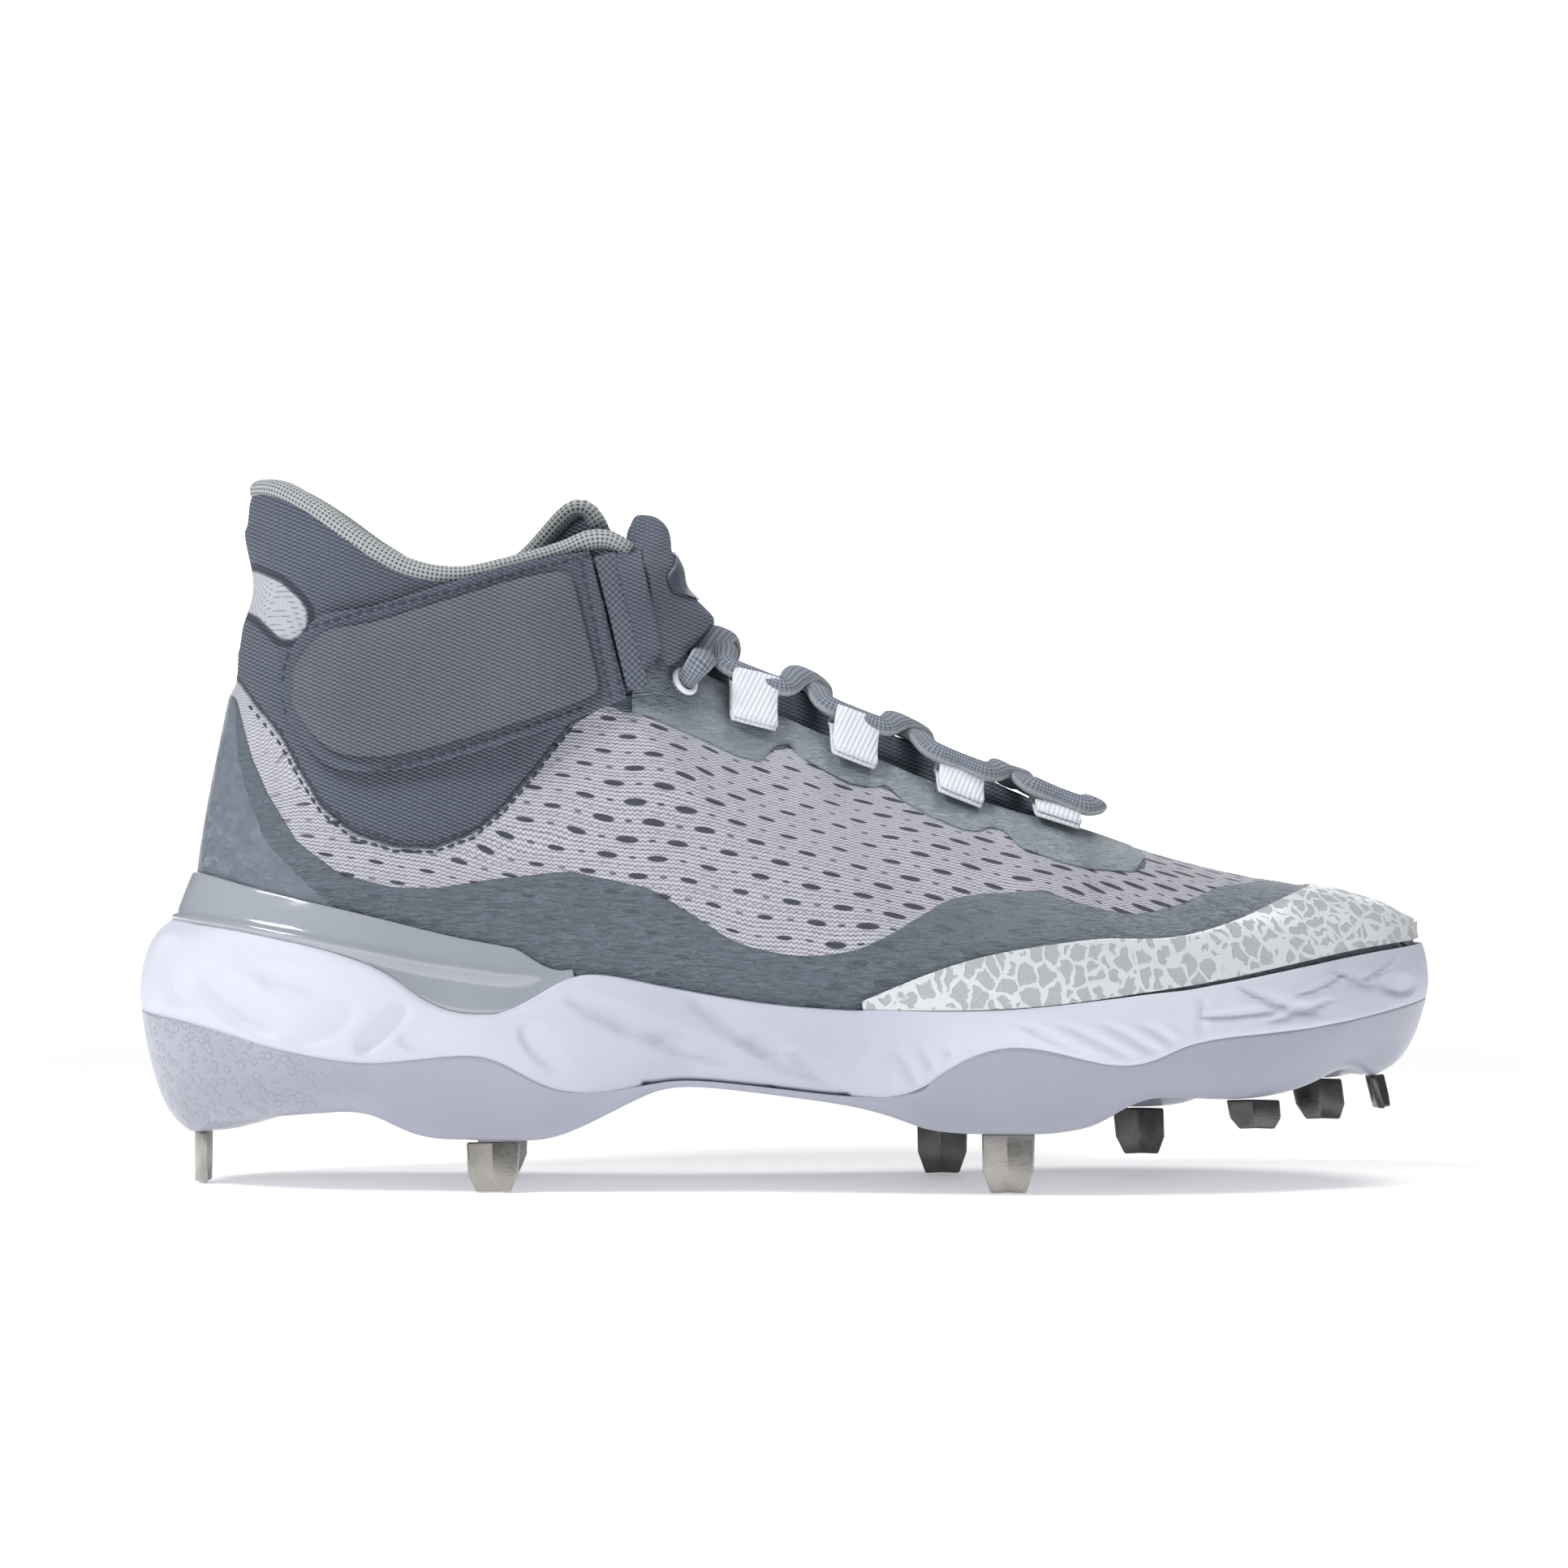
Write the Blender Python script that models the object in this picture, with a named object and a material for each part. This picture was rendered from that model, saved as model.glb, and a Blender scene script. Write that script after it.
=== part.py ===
"""A right baseball cleat with an ankle strap and nine metal spikes, standing on a floor at z = 0.

Metres, +Z up. The heel is at -X and the toe at +X, the outer (lateral) side is at -Y and the inner (medial)
side at +Y. A side is -1 for lateral and +1 for medial. Lengths in the tables are shares of the named sizes.
"""

import itertools
import math
from collections import namedtuple

import bmesh
import bpy
from mathutils import Vector
from mathutils.bvhtree import BVHTree

MM = 0.001
LATERAL, MEDIAL = -1, 1
UP = Vector((0, 0, 1))

# Overall sizes
SHOE_LENGTH = 300 * MM  # heel to toe of the sole
SOLE_WIDTH = 103 * MM  # the sole across the ball
LAST_WIDTH = 90 * MM  # the foot of the upper across the ball
SPIKE_DROP = 11.5 * MM  # from the heel pods' faces to the floor
SOLE_HEIGHT = 61 * MM  # from the heel pods' faces to the top of the heel cup
UPPER_HEIGHT = 132 * MM  # from the footbed's lowest level to the top of the collar
TOE_SWING = 7 * MM  # how far the toe lies towards the inner side
OUTER_SHIFT = 2.3 * MM  # how far the heel lies towards the outer side

# Walls and clearances
GAP = 0.3 * MM  # between pieces that touch
UPPER_WALL = 2.2 * MM
COLLAR_PAD = 3.6 * MM  # what the collar's padding adds to the wall
LIP = 1.6 * MM  # the midsole's rim beside the upper
HEEL_LIP = 5.0 * MM  # the rim under the heel clip
FOAM_LEAST = 2.5 * MM  # foam under the footbed where it is thinnest
PLATE = 4.2 * MM  # the outsole under the midsole
FLANGE = 1.3 * MM  # the top of the outsole's upturned edge
FLANGE_SLOPE = 0.4 * MM  # how far the inside of that edge leans in
INSOLE = 3.6 * MM
CLIP_EDGE = 1.0 * MM  # the heel clip at its top edge
CLIP_FOOT = 4.2 * MM  # the heel clip at its lower edge
OVERLAY = 0.9 * MM  # a fused overlay
OVERLAY_GAP = 0.5 * MM
TONGUE_PAD = 4.0 * MM
PANEL_EDGE = 1.6 * MM  # the ankle panel's flat stitched border
STRAP = 2.0 * MM
STRAP_PAD = 3.4 * MM
STRAP_GAP = 0.6 * MM  # under the strap's layers
STRAP_WIDTH = 37 * MM
LACE_WIDTH = 5.8 * MM
LACE_THICK = 4.0 * MM
WEBBING = 0.9 * MM  # one layer of a lace loop
LOOP_WIDTH = 11 * MM
LOOP_LENGTH = 13 * MM
EYE_RADIUS = 2.7 * MM  # the round end of a lace loop, to the middle of its webbing
RING_RADIUS = 3.0 * MM  # a ring eyelet, to the middle of its rim
RING_RIM = 0.9 * MM
SPIKE_WIDTH = 12 * MM
SPIKE_THICK = 1.6 * MM
SPIKE_BEND = 2.2 * MM
BADGE_THICK = 1.0 * MM

WELD = 0.01 * MM
CLEAR_ROUNDS = 8
CELL_SPANS = (0.0, 0.25, 0.5, 0.75, 1.0)  # where a face is tested along and across it
HEEL_X = -SHOE_LENGTH / 2
FOOTBED_Z = SPIKE_DROP + 0.287 * SOLE_HEIGHT


def smoothstep(x):
    x = min(max(x, 0.0), 1.0)
    return x * x * (3 - 2 * x)


def mix(a, b, t):
    return a + (b - a) * t


def spread(low, high, count):
    return [mix(low, high, i / (count - 1)) for i in range(count - 1)] + [high]


def through(xs, ys):
    """A smooth function through the points that makes no new humps between them."""
    steps = [b - a for a, b in zip(xs, xs[1:])]
    slopes = [(d - c) / h for c, d, h in zip(ys, ys[1:], steps)]
    tangents = [slopes[0]]
    for left, right in zip(slopes, slopes[1:]):
        tangents.append(2 * left * right / (left + right) if left * right > 0 else 0.0)
    tangents.append(slopes[-1])

    def value(x):
        x = min(max(x, xs[0]), xs[-1])
        i = max(k for k in range(len(steps)) if x >= xs[k])
        t = (x - xs[i]) / steps[i]
        a, b = tangents[i] * steps[i], tangents[i + 1] * steps[i]
        rest = ys[i + 1] - ys[i]
        return ys[i] + t * (a + t * (3 * rest - 2 * a - b + t * (a + b - 2 * rest)))

    return value


def curves_of(rows):
    """One smooth function of the first column for each of a table's other columns."""
    names = rows[0]._fields
    xs = [row[0] for row in rows]
    return {name: through(xs, [getattr(row, name) for row in rows]) for name in names[1:]}


def round_end(depth, power=2.0):
    """The share of the full half width at this share of a rounded end's length."""
    if depth >= 1:
        return 1.0
    return (1 - (1 - max(depth, 0.0)) ** power) ** (1 / power)


# Half widths of the sole from above, as shares of SOLE_WIDTH, without its rounded ends
Outline = namedtuple("Outline", "along lateral medial")
SOLE_OUTLINE = [
    Outline(0.00, 0.385, 0.385),
    Outline(0.18, 0.385, 0.383),
    Outline(0.32, 0.388, 0.365),
    Outline(0.45, 0.412, 0.335),
    Outline(0.57, 0.450, 0.365),
    Outline(0.67, 0.500, 0.450),
    Outline(0.73, 0.512, 0.486),
    Outline(0.80, 0.500, 0.486),
    Outline(1.00, 0.470, 0.450),
]
# Half widths of the upper's foot, as shares of LAST_WIDTH, without its rounded ends
LAST_OUTLINE = [
    Outline(0.00, 0.355, 0.355),
    Outline(0.18, 0.360, 0.356),
    Outline(0.32, 0.368, 0.338),
    Outline(0.45, 0.394, 0.308),
    Outline(0.57, 0.440, 0.346),
    Outline(0.67, 0.488, 0.436),
    Outline(0.73, 0.500, 0.476),
    Outline(0.80, 0.490, 0.478),
    Outline(1.00, 0.456, 0.442),
]
# Heights of the sole's lines along the shoe, as shares of SOLE_HEIGHT above the heel pods' faces
SoleLine = namedtuple("SoleLine", "along rim cup platform join tread")
SOLE_LINES = [
    SoleLine(0.000, 0.850, 1.000, 0.410, 0.470, 0.075),
    SoleLine(0.056, 0.810, 0.990, 0.408, 0.428, 0.067),
    SoleLine(0.113, 0.768, 0.925, 0.406, 0.344, 0.085),
    SoleLine(0.162, 0.703, 0.868, 0.404, 0.302, 0.108),
    SoleLine(0.187, 0.660, 0.838, 0.402, 0.290, 0.108),
    SoleLine(0.212, 0.588, 0.808, 0.398, 0.302, 0.105),
    SoleLine(0.236, 0.496, 0.780, 0.394, 0.314, 0.100),
    SoleLine(0.261, 0.466, 0.752, 0.388, 0.326, 0.098),
    SoleLine(0.280, 0.470, 0.730, 0.383, 0.311, 0.096),
    SoleLine(0.300, 0.505, 0.706, 0.378, 0.256, 0.100),
    SoleLine(0.322, 0.568, 0.678, 0.371, 0.196, 0.112),
    SoleLine(0.351, 0.641, 0.643, 0.362, 0.176, 0.140),
    SoleLine(0.400, 0.588, 0.590, 0.345, 0.222, 0.190),
    SoleLine(0.427, 0.562, 0.564, 0.335, 0.242, 0.210),
    SoleLine(0.489, 0.510, 0.512, 0.312, 0.208, 0.174),
    SoleLine(0.545, 0.493, 0.495, 0.298, 0.178, 0.142),
    SoleLine(0.584, 0.486, 0.488, 0.291, 0.172, 0.132),
    SoleLine(0.605, 0.484, 0.486, 0.288, 0.222, 0.126),
    SoleLine(0.631, 0.484, 0.486, 0.287, 0.318, 0.120),
    SoleLine(0.658, 0.488, 0.490, 0.288, 0.362, 0.115),
    SoleLine(0.681, 0.496, 0.498, 0.290, 0.362, 0.113),
    SoleLine(0.705, 0.507, 0.509, 0.295, 0.338, 0.120),
    SoleLine(0.735, 0.526, 0.528, 0.308, 0.298, 0.165),
    SoleLine(0.757, 0.541, 0.543, 0.325, 0.288, 0.175),
    SoleLine(0.780, 0.556, 0.558, 0.343, 0.312, 0.168),
    SoleLine(0.798, 0.567, 0.569, 0.360, 0.364, 0.164),
    SoleLine(0.832, 0.597, 0.599, 0.395, 0.393, 0.182),
    SoleLine(0.880, 0.642, 0.644, 0.440, 0.404, 0.240),
    SoleLine(0.930, 0.688, 0.690, 0.490, 0.439, 0.262),
    SoleLine(1.000, 0.722, 0.724, 0.530, 0.510, 0.262),
]
# How far the sole's side stands inside its outline at three heights, as shares of SOLE_WIDTH
SoleSide = namedtuple("SoleSide", "along bulge join tuck")
SOLE_SIDES = [
    SoleSide(0.00, 0.000, 0.003, 0.107),
    SoleSide(0.20, 0.000, 0.010, 0.090),
    SoleSide(0.42, 0.004, 0.026, 0.060),
    SoleSide(0.60, 0.006, 0.014, 0.060),
    SoleSide(0.80, 0.004, 0.010, 0.070),
    SoleSide(1.00, 0.000, 0.005, 0.115),
]

# The wall of the upper in sections from heel to toe. foot and crest are where a section's two ends lie along
# the shoe, height is the crest's as a share of UPPER_HEIGHT, lateral and medial are its half widths as shares
# of LAST_WIDTH, lean is how far the wall leans out over the sole, slope how far the surface has turned
# from level at the crest, and the pulls are the lengths of the curve's handles.
Section = namedtuple("Section", "foot crest height lateral medial lean base_pull slope top_pull")
SECTIONS = [
    Section(0.000, 0.0935, 1.000, 0.315, 0.315, 14, 0.30, 90, 0.34),
    Section(0.040, 0.1100, 0.998, 0.315, 0.315, 13, 0.30, 90, 0.34),
    Section(0.080, 0.1300, 0.984, 0.325, 0.325, 12, 0.30, 90, 0.34),
    Section(0.130, 0.1740, 0.914, 0.332, 0.332, 12, 0.30, 90, 0.36),
    Section(0.180, 0.2050, 0.862, 0.336, 0.336, 12, 0.32, 90, 0.38),
    Section(0.240, 0.2450, 0.838, 0.336, 0.336, 12, 0.34, 88, 0.38),
    Section(0.300, 0.2850, 0.848, 0.324, 0.324, 12, 0.36, 84, 0.36),
    Section(0.350, 0.3200, 0.885, 0.299, 0.303, 13, 0.38, 78, 0.34),
    Section(0.385, 0.3450, 0.915, 0.276, 0.282, 14, 0.40, 72, 0.32),
    Section(0.410, 0.3650, 0.890, 0.261, 0.268, 15, 0.42, 66, 0.32),
    Section(0.440, 0.4000, 0.768, 0.238, 0.245, 16, 0.44, 58, 0.34),
    Section(0.475, 0.4400, 0.652, 0.214, 0.220, 18, 0.46, 50, 0.38),
    Section(0.540, 0.5100, 0.589, 0.188, 0.192, 20, 0.48, 38, 0.44),
    Section(0.610, 0.5850, 0.510, 0.165, 0.167, 22, 0.52, 28, 0.50),
    Section(0.680, 0.6600, 0.442, 0.146, 0.146, 24, 0.56, 16, 0.56),
    Section(0.740, 0.7290, 0.398, 0.125, 0.125, 24, 0.60, 0, 0.60),
    Section(0.800, 0.8000, 0.345, 0.100, 0.100, 24, 0.62, 0, 0.62),
    Section(0.860, 0.8620, 0.313, 0.100, 0.100, 22, 0.62, 0, 0.62),
    Section(0.920, 0.9260, 0.285, 0.100, 0.100, 20, 0.62, 0, 0.62),
    Section(0.960, 0.9600, 0.263, 0.100, 0.100, 18, 0.62, 0, 0.60),
    Section(0.987, 0.9760, 0.244, 0.100, 0.100, 16, 0.60, 0, 0.58),
    Section(1.000, 0.9830, 0.226, 0.100, 0.100, 16, 0.60, 0, 0.58),
]
VAMP_POINT = 0.740  # the foot of the section where the throat ends
WELDED = 0.9999  # from this share of a height or a column on, the two sides meet on the centre line

# The seam under the collar's padding, and the rolls across the back of the ankle. Heights are shares of
# UPPER_HEIGHT, a roll's reach is the share of the upper's length where it has died away.
Seam = namedtuple("Seam", "foot height")
COLLAR_SEAM = [
    Seam(0.000, 0.700),
    Seam(0.030, 0.654),
    Seam(0.074, 0.502),
    Seam(0.110, 0.430),
    Seam(0.165, 0.377),
    Seam(0.216, 0.370),
    Seam(0.250, 0.385),
    Seam(0.285, 0.419),
    Seam(0.315, 0.490),
    Seam(0.340, 0.571),
    Seam(0.360, 0.680),
    Seam(0.385, 0.800),
]
BACK_PAD = 0.15  # the share of the padding that is left behind the heel tendon
Roll = namedtuple("Roll", "height thickness reach bulge")
ROLLS = (
    Roll(0.930, 0.062, 0.190, 3.4 * MM),
    Roll(0.715, 0.040, 0.090, 2.0 * MM),
    Roll(0.815, 0.050, 0.070, -1.4 * MM),
)

sole_outline = curves_of(SOLE_OUTLINE)
last_outline = curves_of(LAST_OUTLINE)
sole_line = curves_of(SOLE_LINES)
sole_side = curves_of(SOLE_SIDES)
section = curves_of(SECTIONS)
collar_seam = curves_of(COLLAR_SEAM)["height"]


def shoe_x(share):
    return HEEL_X + SHOE_LENGTH * share


def share_of(x):
    return (x - HEEL_X) / SHOE_LENGTH


def centre_y(x):
    """The shoe's centre line, which swings to the inner side past the ball.

    It starts a little to the outer side, so that the shoe's sides lie evenly about the middle plane.
    """
    return TOE_SWING * smoothstep((share_of(x) - 0.55) / 0.42) - OUTER_SHIFT


def sole_z(line, share):
    return SPIKE_DROP + SOLE_HEIGHT * sole_line[line](share)


def upper_z(share):
    return FOOTBED_Z + UPPER_HEIGHT * share


Round = namedtuple("Round", "length power")
Plan = namedtuple("Plan", "outline width start length heel toe")
SOLE_PLAN = Plan(
    outline=sole_outline,
    width=SOLE_WIDTH,
    start=HEEL_X,
    length=SHOE_LENGTH,
    heel=Round(0.46 * SOLE_WIDTH, 2.0),
    toe={LATERAL: Round(0.86 * SOLE_WIDTH, 1.95), MEDIAL: Round(0.56 * SOLE_WIDTH, 2.05)},
)
LAST_PLAN = Plan(
    outline=last_outline,
    width=LAST_WIDTH,
    start=HEEL_X + SHOE_LENGTH * 0.048,
    length=SHOE_LENGTH * 0.939,
    heel=Round(0.42 * LAST_WIDTH, 2.1),
    toe={LATERAL: Round(0.86 * LAST_WIDTH, 1.95), MEDIAL: Round(0.56 * LAST_WIDTH, 2.05)},
)
COLLAR_BACK = Round(0.36 * LAST_WIDTH, 2.0)
THROAT_FRONT = Round(0.13 * LAST_WIDTH, 2.0)


def plan_point(plan, share, side, grow=0.0):
    """A point of an outline from above, and its outward direction, at a share of its length."""
    x = plan.start + plan.length * share
    behind = plan.length * share / plan.heel.length
    ahead = plan.length * (1 - share) / plan.toe[side].length
    half = plan.outline["lateral" if side == LATERAL else "medial"](share_of(x)) * plan.width
    half *= round_end(behind, plan.heel.power) * round_end(ahead, plan.toe[side].power)
    out = Vector((0, side, 0))
    if behind < 1:
        out = Vector((-(1 - behind), side * math.sqrt(1 - (1 - behind) ** 2), 0))
    elif ahead < 1:
        out = Vector((1 - ahead, side * math.sqrt(1 - (1 - ahead) ** 2), 0))
    return Vector((x, centre_y(x) + side * half, 0)) + out * grow, out


def foot_point(share, side):
    """The upper's lower edge on the footbed and its outward direction."""
    point, out = plan_point(LAST_PLAN, share, side)
    point.z = sole_z("platform", share_of(point.x)) + GAP
    return point, out


def crest_point(share, side):
    """The upper's top edge, or its ridge past the throat, and its outward direction."""
    x = shoe_x(section["crest"](share))
    back, front = shoe_x(SECTIONS[0].crest), shoe_x(section["crest"](VAMP_POINT))
    half = section["lateral" if side == LATERAL else "medial"](share) * LAST_WIDTH
    behind = (x - back) / COLLAR_BACK.length
    half *= round_end(behind, COLLAR_BACK.power)
    half *= 0.0 if share >= VAMP_POINT else round_end((front - x) / THROAT_FRONT.length, THROAT_FRONT.power)
    out = Vector((0, side, 0))
    if behind < 1:
        out = Vector((-(1 - behind), side * math.sqrt(1 - (1 - behind) ** 2), 0))
    return Vector((x, centre_y(x) + side * half, upper_z(section["height"](share)))), out


def wall_curve(share, side):
    """The four control points of the upper's wall at one section."""
    foot, foot_out = foot_point(share, side)
    crest, crest_out = crest_point(share, side)
    rise = crest.z - foot.z
    reach = (crest.xy - foot.xy).length
    if share > VAMP_POINT:
        crest_out = (foot.xy - crest.xy).normalized().to_3d()
    lean, slope = math.radians(section["lean"](share)), math.radians(section["slope"](share))
    base = section["base_pull"](share) * rise * (UP * math.cos(lean) + foot_out * math.sin(lean))
    pull = section["top_pull"](share) * (reach * math.cos(slope) + rise * math.sin(slope))
    top = pull * (crest_out * math.cos(slope) - UP * math.sin(slope))
    return foot, foot + base, crest + top, crest


def wall_point(share, height, side):
    """A point of the bare wall. height runs from 0 at the footbed to 1 at the top line or ridge."""
    a, b, c, d = wall_curve(share, side)
    t = min(max(height, 0.0), 1.0)
    return a * (1 - t) ** 3 + b * 3 * t * (1 - t) ** 2 + c * 3 * t * t * (1 - t) + d * t**3


def station(q):
    """The share along the upper at grid column q: 0 at the heel, 1 at the vamp point and 2 at the toe."""
    if q <= 1:
        return VAMP_POINT * (1 - math.cos(math.pi * q)) / 2
    return VAMP_POINT + (1 - VAMP_POINT) * math.sin(math.pi * (q - 1) / 2)


def grid_column(share):
    """The grid column of the upper at a share along it."""
    if share <= VAMP_POINT:
        return math.acos(1 - 2 * max(share, 0.0) / VAMP_POINT) / math.pi
    return 1 + math.asin(min((share - VAMP_POINT) / (1 - VAMP_POINT), 1.0)) * 2 / math.pi


def wall_normal(q, height, side):
    """The outward normal of the bare wall at a grid column."""
    step = 1e-3
    q0, q1 = max(q - step, 0.0), min(q + step, 2.0)
    h0, h1 = max(height - step, 0.0), min(height + step, 1.0)
    along = wall_point(station(q1), height, side) - wall_point(station(q0), height, side)
    rise = wall_point(station(q), h1, side) - wall_point(station(q), h0, side)
    normal = along.cross(rise) * -side
    if q <= 1 - WELDED or q >= 1 + WELDED or (q >= 1 and height >= WELDED):
        normal.y = 0
    return normal.normalized()


def height_at(share, side, z):
    """Where a section's wall passes a height above the floor."""
    low, high = 0.0, 1.0
    for _ in range(18):
        middle = (low + high) / 2
        if wall_point(share, middle, side).z < z:
            low = middle
        else:
            high = middle
    return (low + high) / 2


def padding(share, z):
    """How far the collar's padding stands out from the bare wall."""
    level = (z - FOOTBED_Z) / UPPER_HEIGHT
    inside = smoothstep((level - collar_seam(share)) / 0.030) * smoothstep((0.425 - share) / 0.05)
    stand = COLLAR_PAD * mix(BACK_PAD, 1.0, smoothstep(share / 0.09))
    for roll in ROLLS:
        fade = math.exp(-((share / roll.reach) ** 2))
        stand += roll.bulge * fade * math.exp(-(((level - roll.height) / roll.thickness) ** 2))
    return inside * stand


def skin_point(q, height, side, lift=0.0):
    """A point of the finished upper's outside, lifted off it by the given distance."""
    share = station(q)
    point = wall_point(share, height, side)
    return point + wall_normal(q, height, side) * (padding(share, point.z) + lift)


def lining_point(q, height, side, drop=0.0):
    """A point of the upper's inside, and further in by the given distance."""
    return wall_point(station(q), height, side) - wall_normal(q, height, side) * (UPPER_WALL + drop)


def beside_wall(share, side, z, lift):
    """A point beside the upper's wall at a height, the given distance out from it."""
    height = height_at(share, side, z)
    normal = wall_normal(grid_column(share), height, side)
    point = wall_point(share, height, side) + Vector((normal.x, normal.y, 0)).normalized() * lift
    point.z = z
    return point


def add_sheet(bm, rows):
    """Faces between rows of points that have the same number of points."""
    grid = [[bm.verts.new(point) for point in row] for row in rows]
    for low, high in zip(grid, grid[1:]):
        for a, b, c, d in zip(low, low[1:], high[1:], high):
            bm.faces.new((a, b, c, d))


def add_slab(bm, outer, inner):
    """A closed wall between two sheets of points with the same rows: both faces and the four edges."""
    add_sheet(bm, outer)
    add_sheet(bm, inner)
    for k in (0, -1):
        add_sheet(bm, [outer[k], inner[k]])
        add_sheet(bm, [[row[k] for row in outer], [row[k] for row in inner]])


def sheet_normals(rows, centre):
    """The normals of a sheet of points, all facing away from a point behind it."""
    normals = []
    for i, row in enumerate(rows):
        before, after = rows[max(i - 1, 0)], rows[min(i + 1, len(rows) - 1)]
        line = []
        for j, point in enumerate(row):
            across_it = row[min(j + 1, len(row) - 1)] - row[max(j - 1, 0)]
            normal = across_it.cross(after[j] - before[j]).normalized()
            line.append(normal if normal.dot(point - centre) > 0 else -normal)
        normals.append(line)
    return normals


def moved(rows, ways, distance):
    """A sheet of points, each moved along its own way."""
    return [[point + way * distance for point, way in zip(*line)] for line in zip(rows, ways)]


def shortfalls(rows, tree, least):
    """How far short of its clearance the worst spot is in the faces round each point of a sheet."""
    short = [[0.0] * len(row) for row in rows]
    for i, j in itertools.product(range(len(rows) - 1), range(len(rows[0]) - 1)):
        for u, v in itertools.product(CELL_SPANS, repeat=2):
            low, high = rows[i][j].lerp(rows[i][j + 1], u), rows[i + 1][j].lerp(rows[i + 1][j + 1], u)
            point = low.lerp(high, v)
            near, normal = tree.find_nearest(point)[:2]
            offset = point - near
            inside = offset.dot(normal) < -0.9 * offset.length  # beside an edge a point is never inside
            need = least + offset.length if inside else least - offset.length
            for di, dj in itertools.product((0, 1), repeat=2):
                if (u > 0 if dj else u < 1) and (v > 0 if di else v < 1):
                    short[i + di][j + dj] = max(short[i + di][j + dj], need)
    return short


def cleared(rows, ways, tree, least):
    """A sheet of points, each moved along its way until the faces between them stand clear of a surface."""
    for _ in range(CLEAR_ROUNDS):
        short = shortfalls(rows, tree, least)
        rows = [
            [point + way * need for point, way, need in zip(*line)] for line in zip(rows, ways, short)
        ]
    return rows


def brought_together(starts, ends):
    """The ends of some points' moves, with the mean of them for points that started at one place."""
    joined = []
    for start in starts:
        met = [end for other, end in zip(starts, ends) if (other - start).length < WELD]
        joined.append(sum(met, Vector()) / len(met))
    return joined


def finish(name, bm, material):
    """Welds a closed mesh, turns its faces outwards and makes it a named object."""
    bmesh.ops.remove_doubles(bm, verts=bm.verts, dist=WELD)
    bmesh.ops.dissolve_degenerate(bm, edges=bm.edges, dist=0.005 * MM)
    bmesh.ops.triangulate(bm, faces=bm.faces)
    bmesh.ops.recalc_face_normals(bm, faces=bm.faces)
    if bm.calc_volume(signed=True) < 0:
        bmesh.ops.reverse_faces(bm, faces=bm.faces)
    mesh = bpy.data.meshes.new(name)
    bm.to_mesh(mesh)
    bm.free()
    mesh.materials.append(material)
    mesh.shade_smooth()
    mesh.set_sharp_from_angle(angle=math.radians(40))
    obj = bpy.data.objects.new(name, mesh)
    bpy.context.scene.collection.objects.link(obj)
    return obj


def slab(name, outer, inner, material):
    bm = bmesh.new()
    add_slab(bm, outer, inner)
    return finish(name, bm, material)


def across(share, spans, edge, level):
    """Points from the lateral to the medial edge at one station. level gives a point's height."""
    low, high = edge(share, LATERAL), edge(share, MEDIAL)
    row = [low.lerp(high, (t + 1) / 2) for t in spans]
    if (high - low).length > 0.1 * MM:
        for t, point in zip(spans, row):
            point.z = level(share, t, point)
    return row


def ring(shares, edge):
    """A closed loop of points along the lateral side to the toe and back along the medial side."""
    return [edge(share, LATERAL) for share in shares] + [edge(share, MEDIAL) for share in reversed(shares)]


def end_spread(count):
    """Shares from 0 to 1 that lie closer together towards both ends."""
    return [(1 - math.cos(math.pi * i / (count - 1))) / 2 for i in range(count)]


# Pods of the outsole and the spikes in them. along and side place a pod, as shares of SHOE_LENGTH and of half
# the SOLE_WIDTH. face is its flat face's height above the heel pods' faces as a share of SOLE_HEIGHT, tip is
# the spike's lowest edge as a share of SPIKE_DROP, turn and lean are the spike's in degrees.
Pod = namedtuple("Pod", "name along side face reach_x reach_y tip turn lean")
PODS = [
    Pod("heel_back", 0.050, 0.00, 0.010, 0.060, 0.190, 0.00, 90, 0),
    Pod("heel_lateral", 0.279, -0.58, 0.000, 0.100, 0.200, 0.00, 0, 0),
    Pod("heel_medial", 0.276, 0.56, 0.000, 0.100, 0.200, 0.00, 0, 0),
    Pod("ball_lateral", 0.667, -0.68, 0.036, 0.110, 0.230, 0.00, 0, 0),
    Pod("ball_medial", 0.623, 0.48, 0.036, 0.110, 0.210, 0.00, 0, 0),
    Pod("fore_medial", 0.779, 0.56, 0.060, 0.085, 0.190, 0.35, 0, 4),
    Pod("fore_lateral", 0.854, -0.56, 0.150, 0.080, 0.180, 1.20, 0, 8),
    Pod("toe_medial", 0.918, 0.40, 0.180, 0.062, 0.150, 1.10, 0, 10),
    Pod("toe_front", 0.956, -0.04, 0.215, 0.055, 0.150, 1.46, 75, 14),
]
SOLE_STATIONS = [0.0, 0.003, 0.012, 0.030] + [row.along for row in SOLE_LINES[1:-1]]
SOLE_STATIONS += [0.965, 0.987, 0.997, 1.0]
SOLE_SPANS = (-1.0, -0.90, -0.74, -0.52, -0.20, 0.20, 0.52, 0.74, 0.90, 1.0)
FOOTBED_SPANS = (-1.0, -0.5, 0.0, 0.5, 1.0)
# Where the footbed lies under a station of the sole, as shares of the upper's foot
footbed_share = through([0, 0.079, 0.158, 0.35, 0.80, 1.0], [0, 0.070, 0.140, 0.322, 0.801, 1.0])


def pod_centre(pod):
    x = shoe_x(pod.along)
    return Vector((x, centre_y(x) + pod.side * SOLE_WIDTH / 2, SPIKE_DROP + SOLE_HEIGHT * pod.face))


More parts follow.
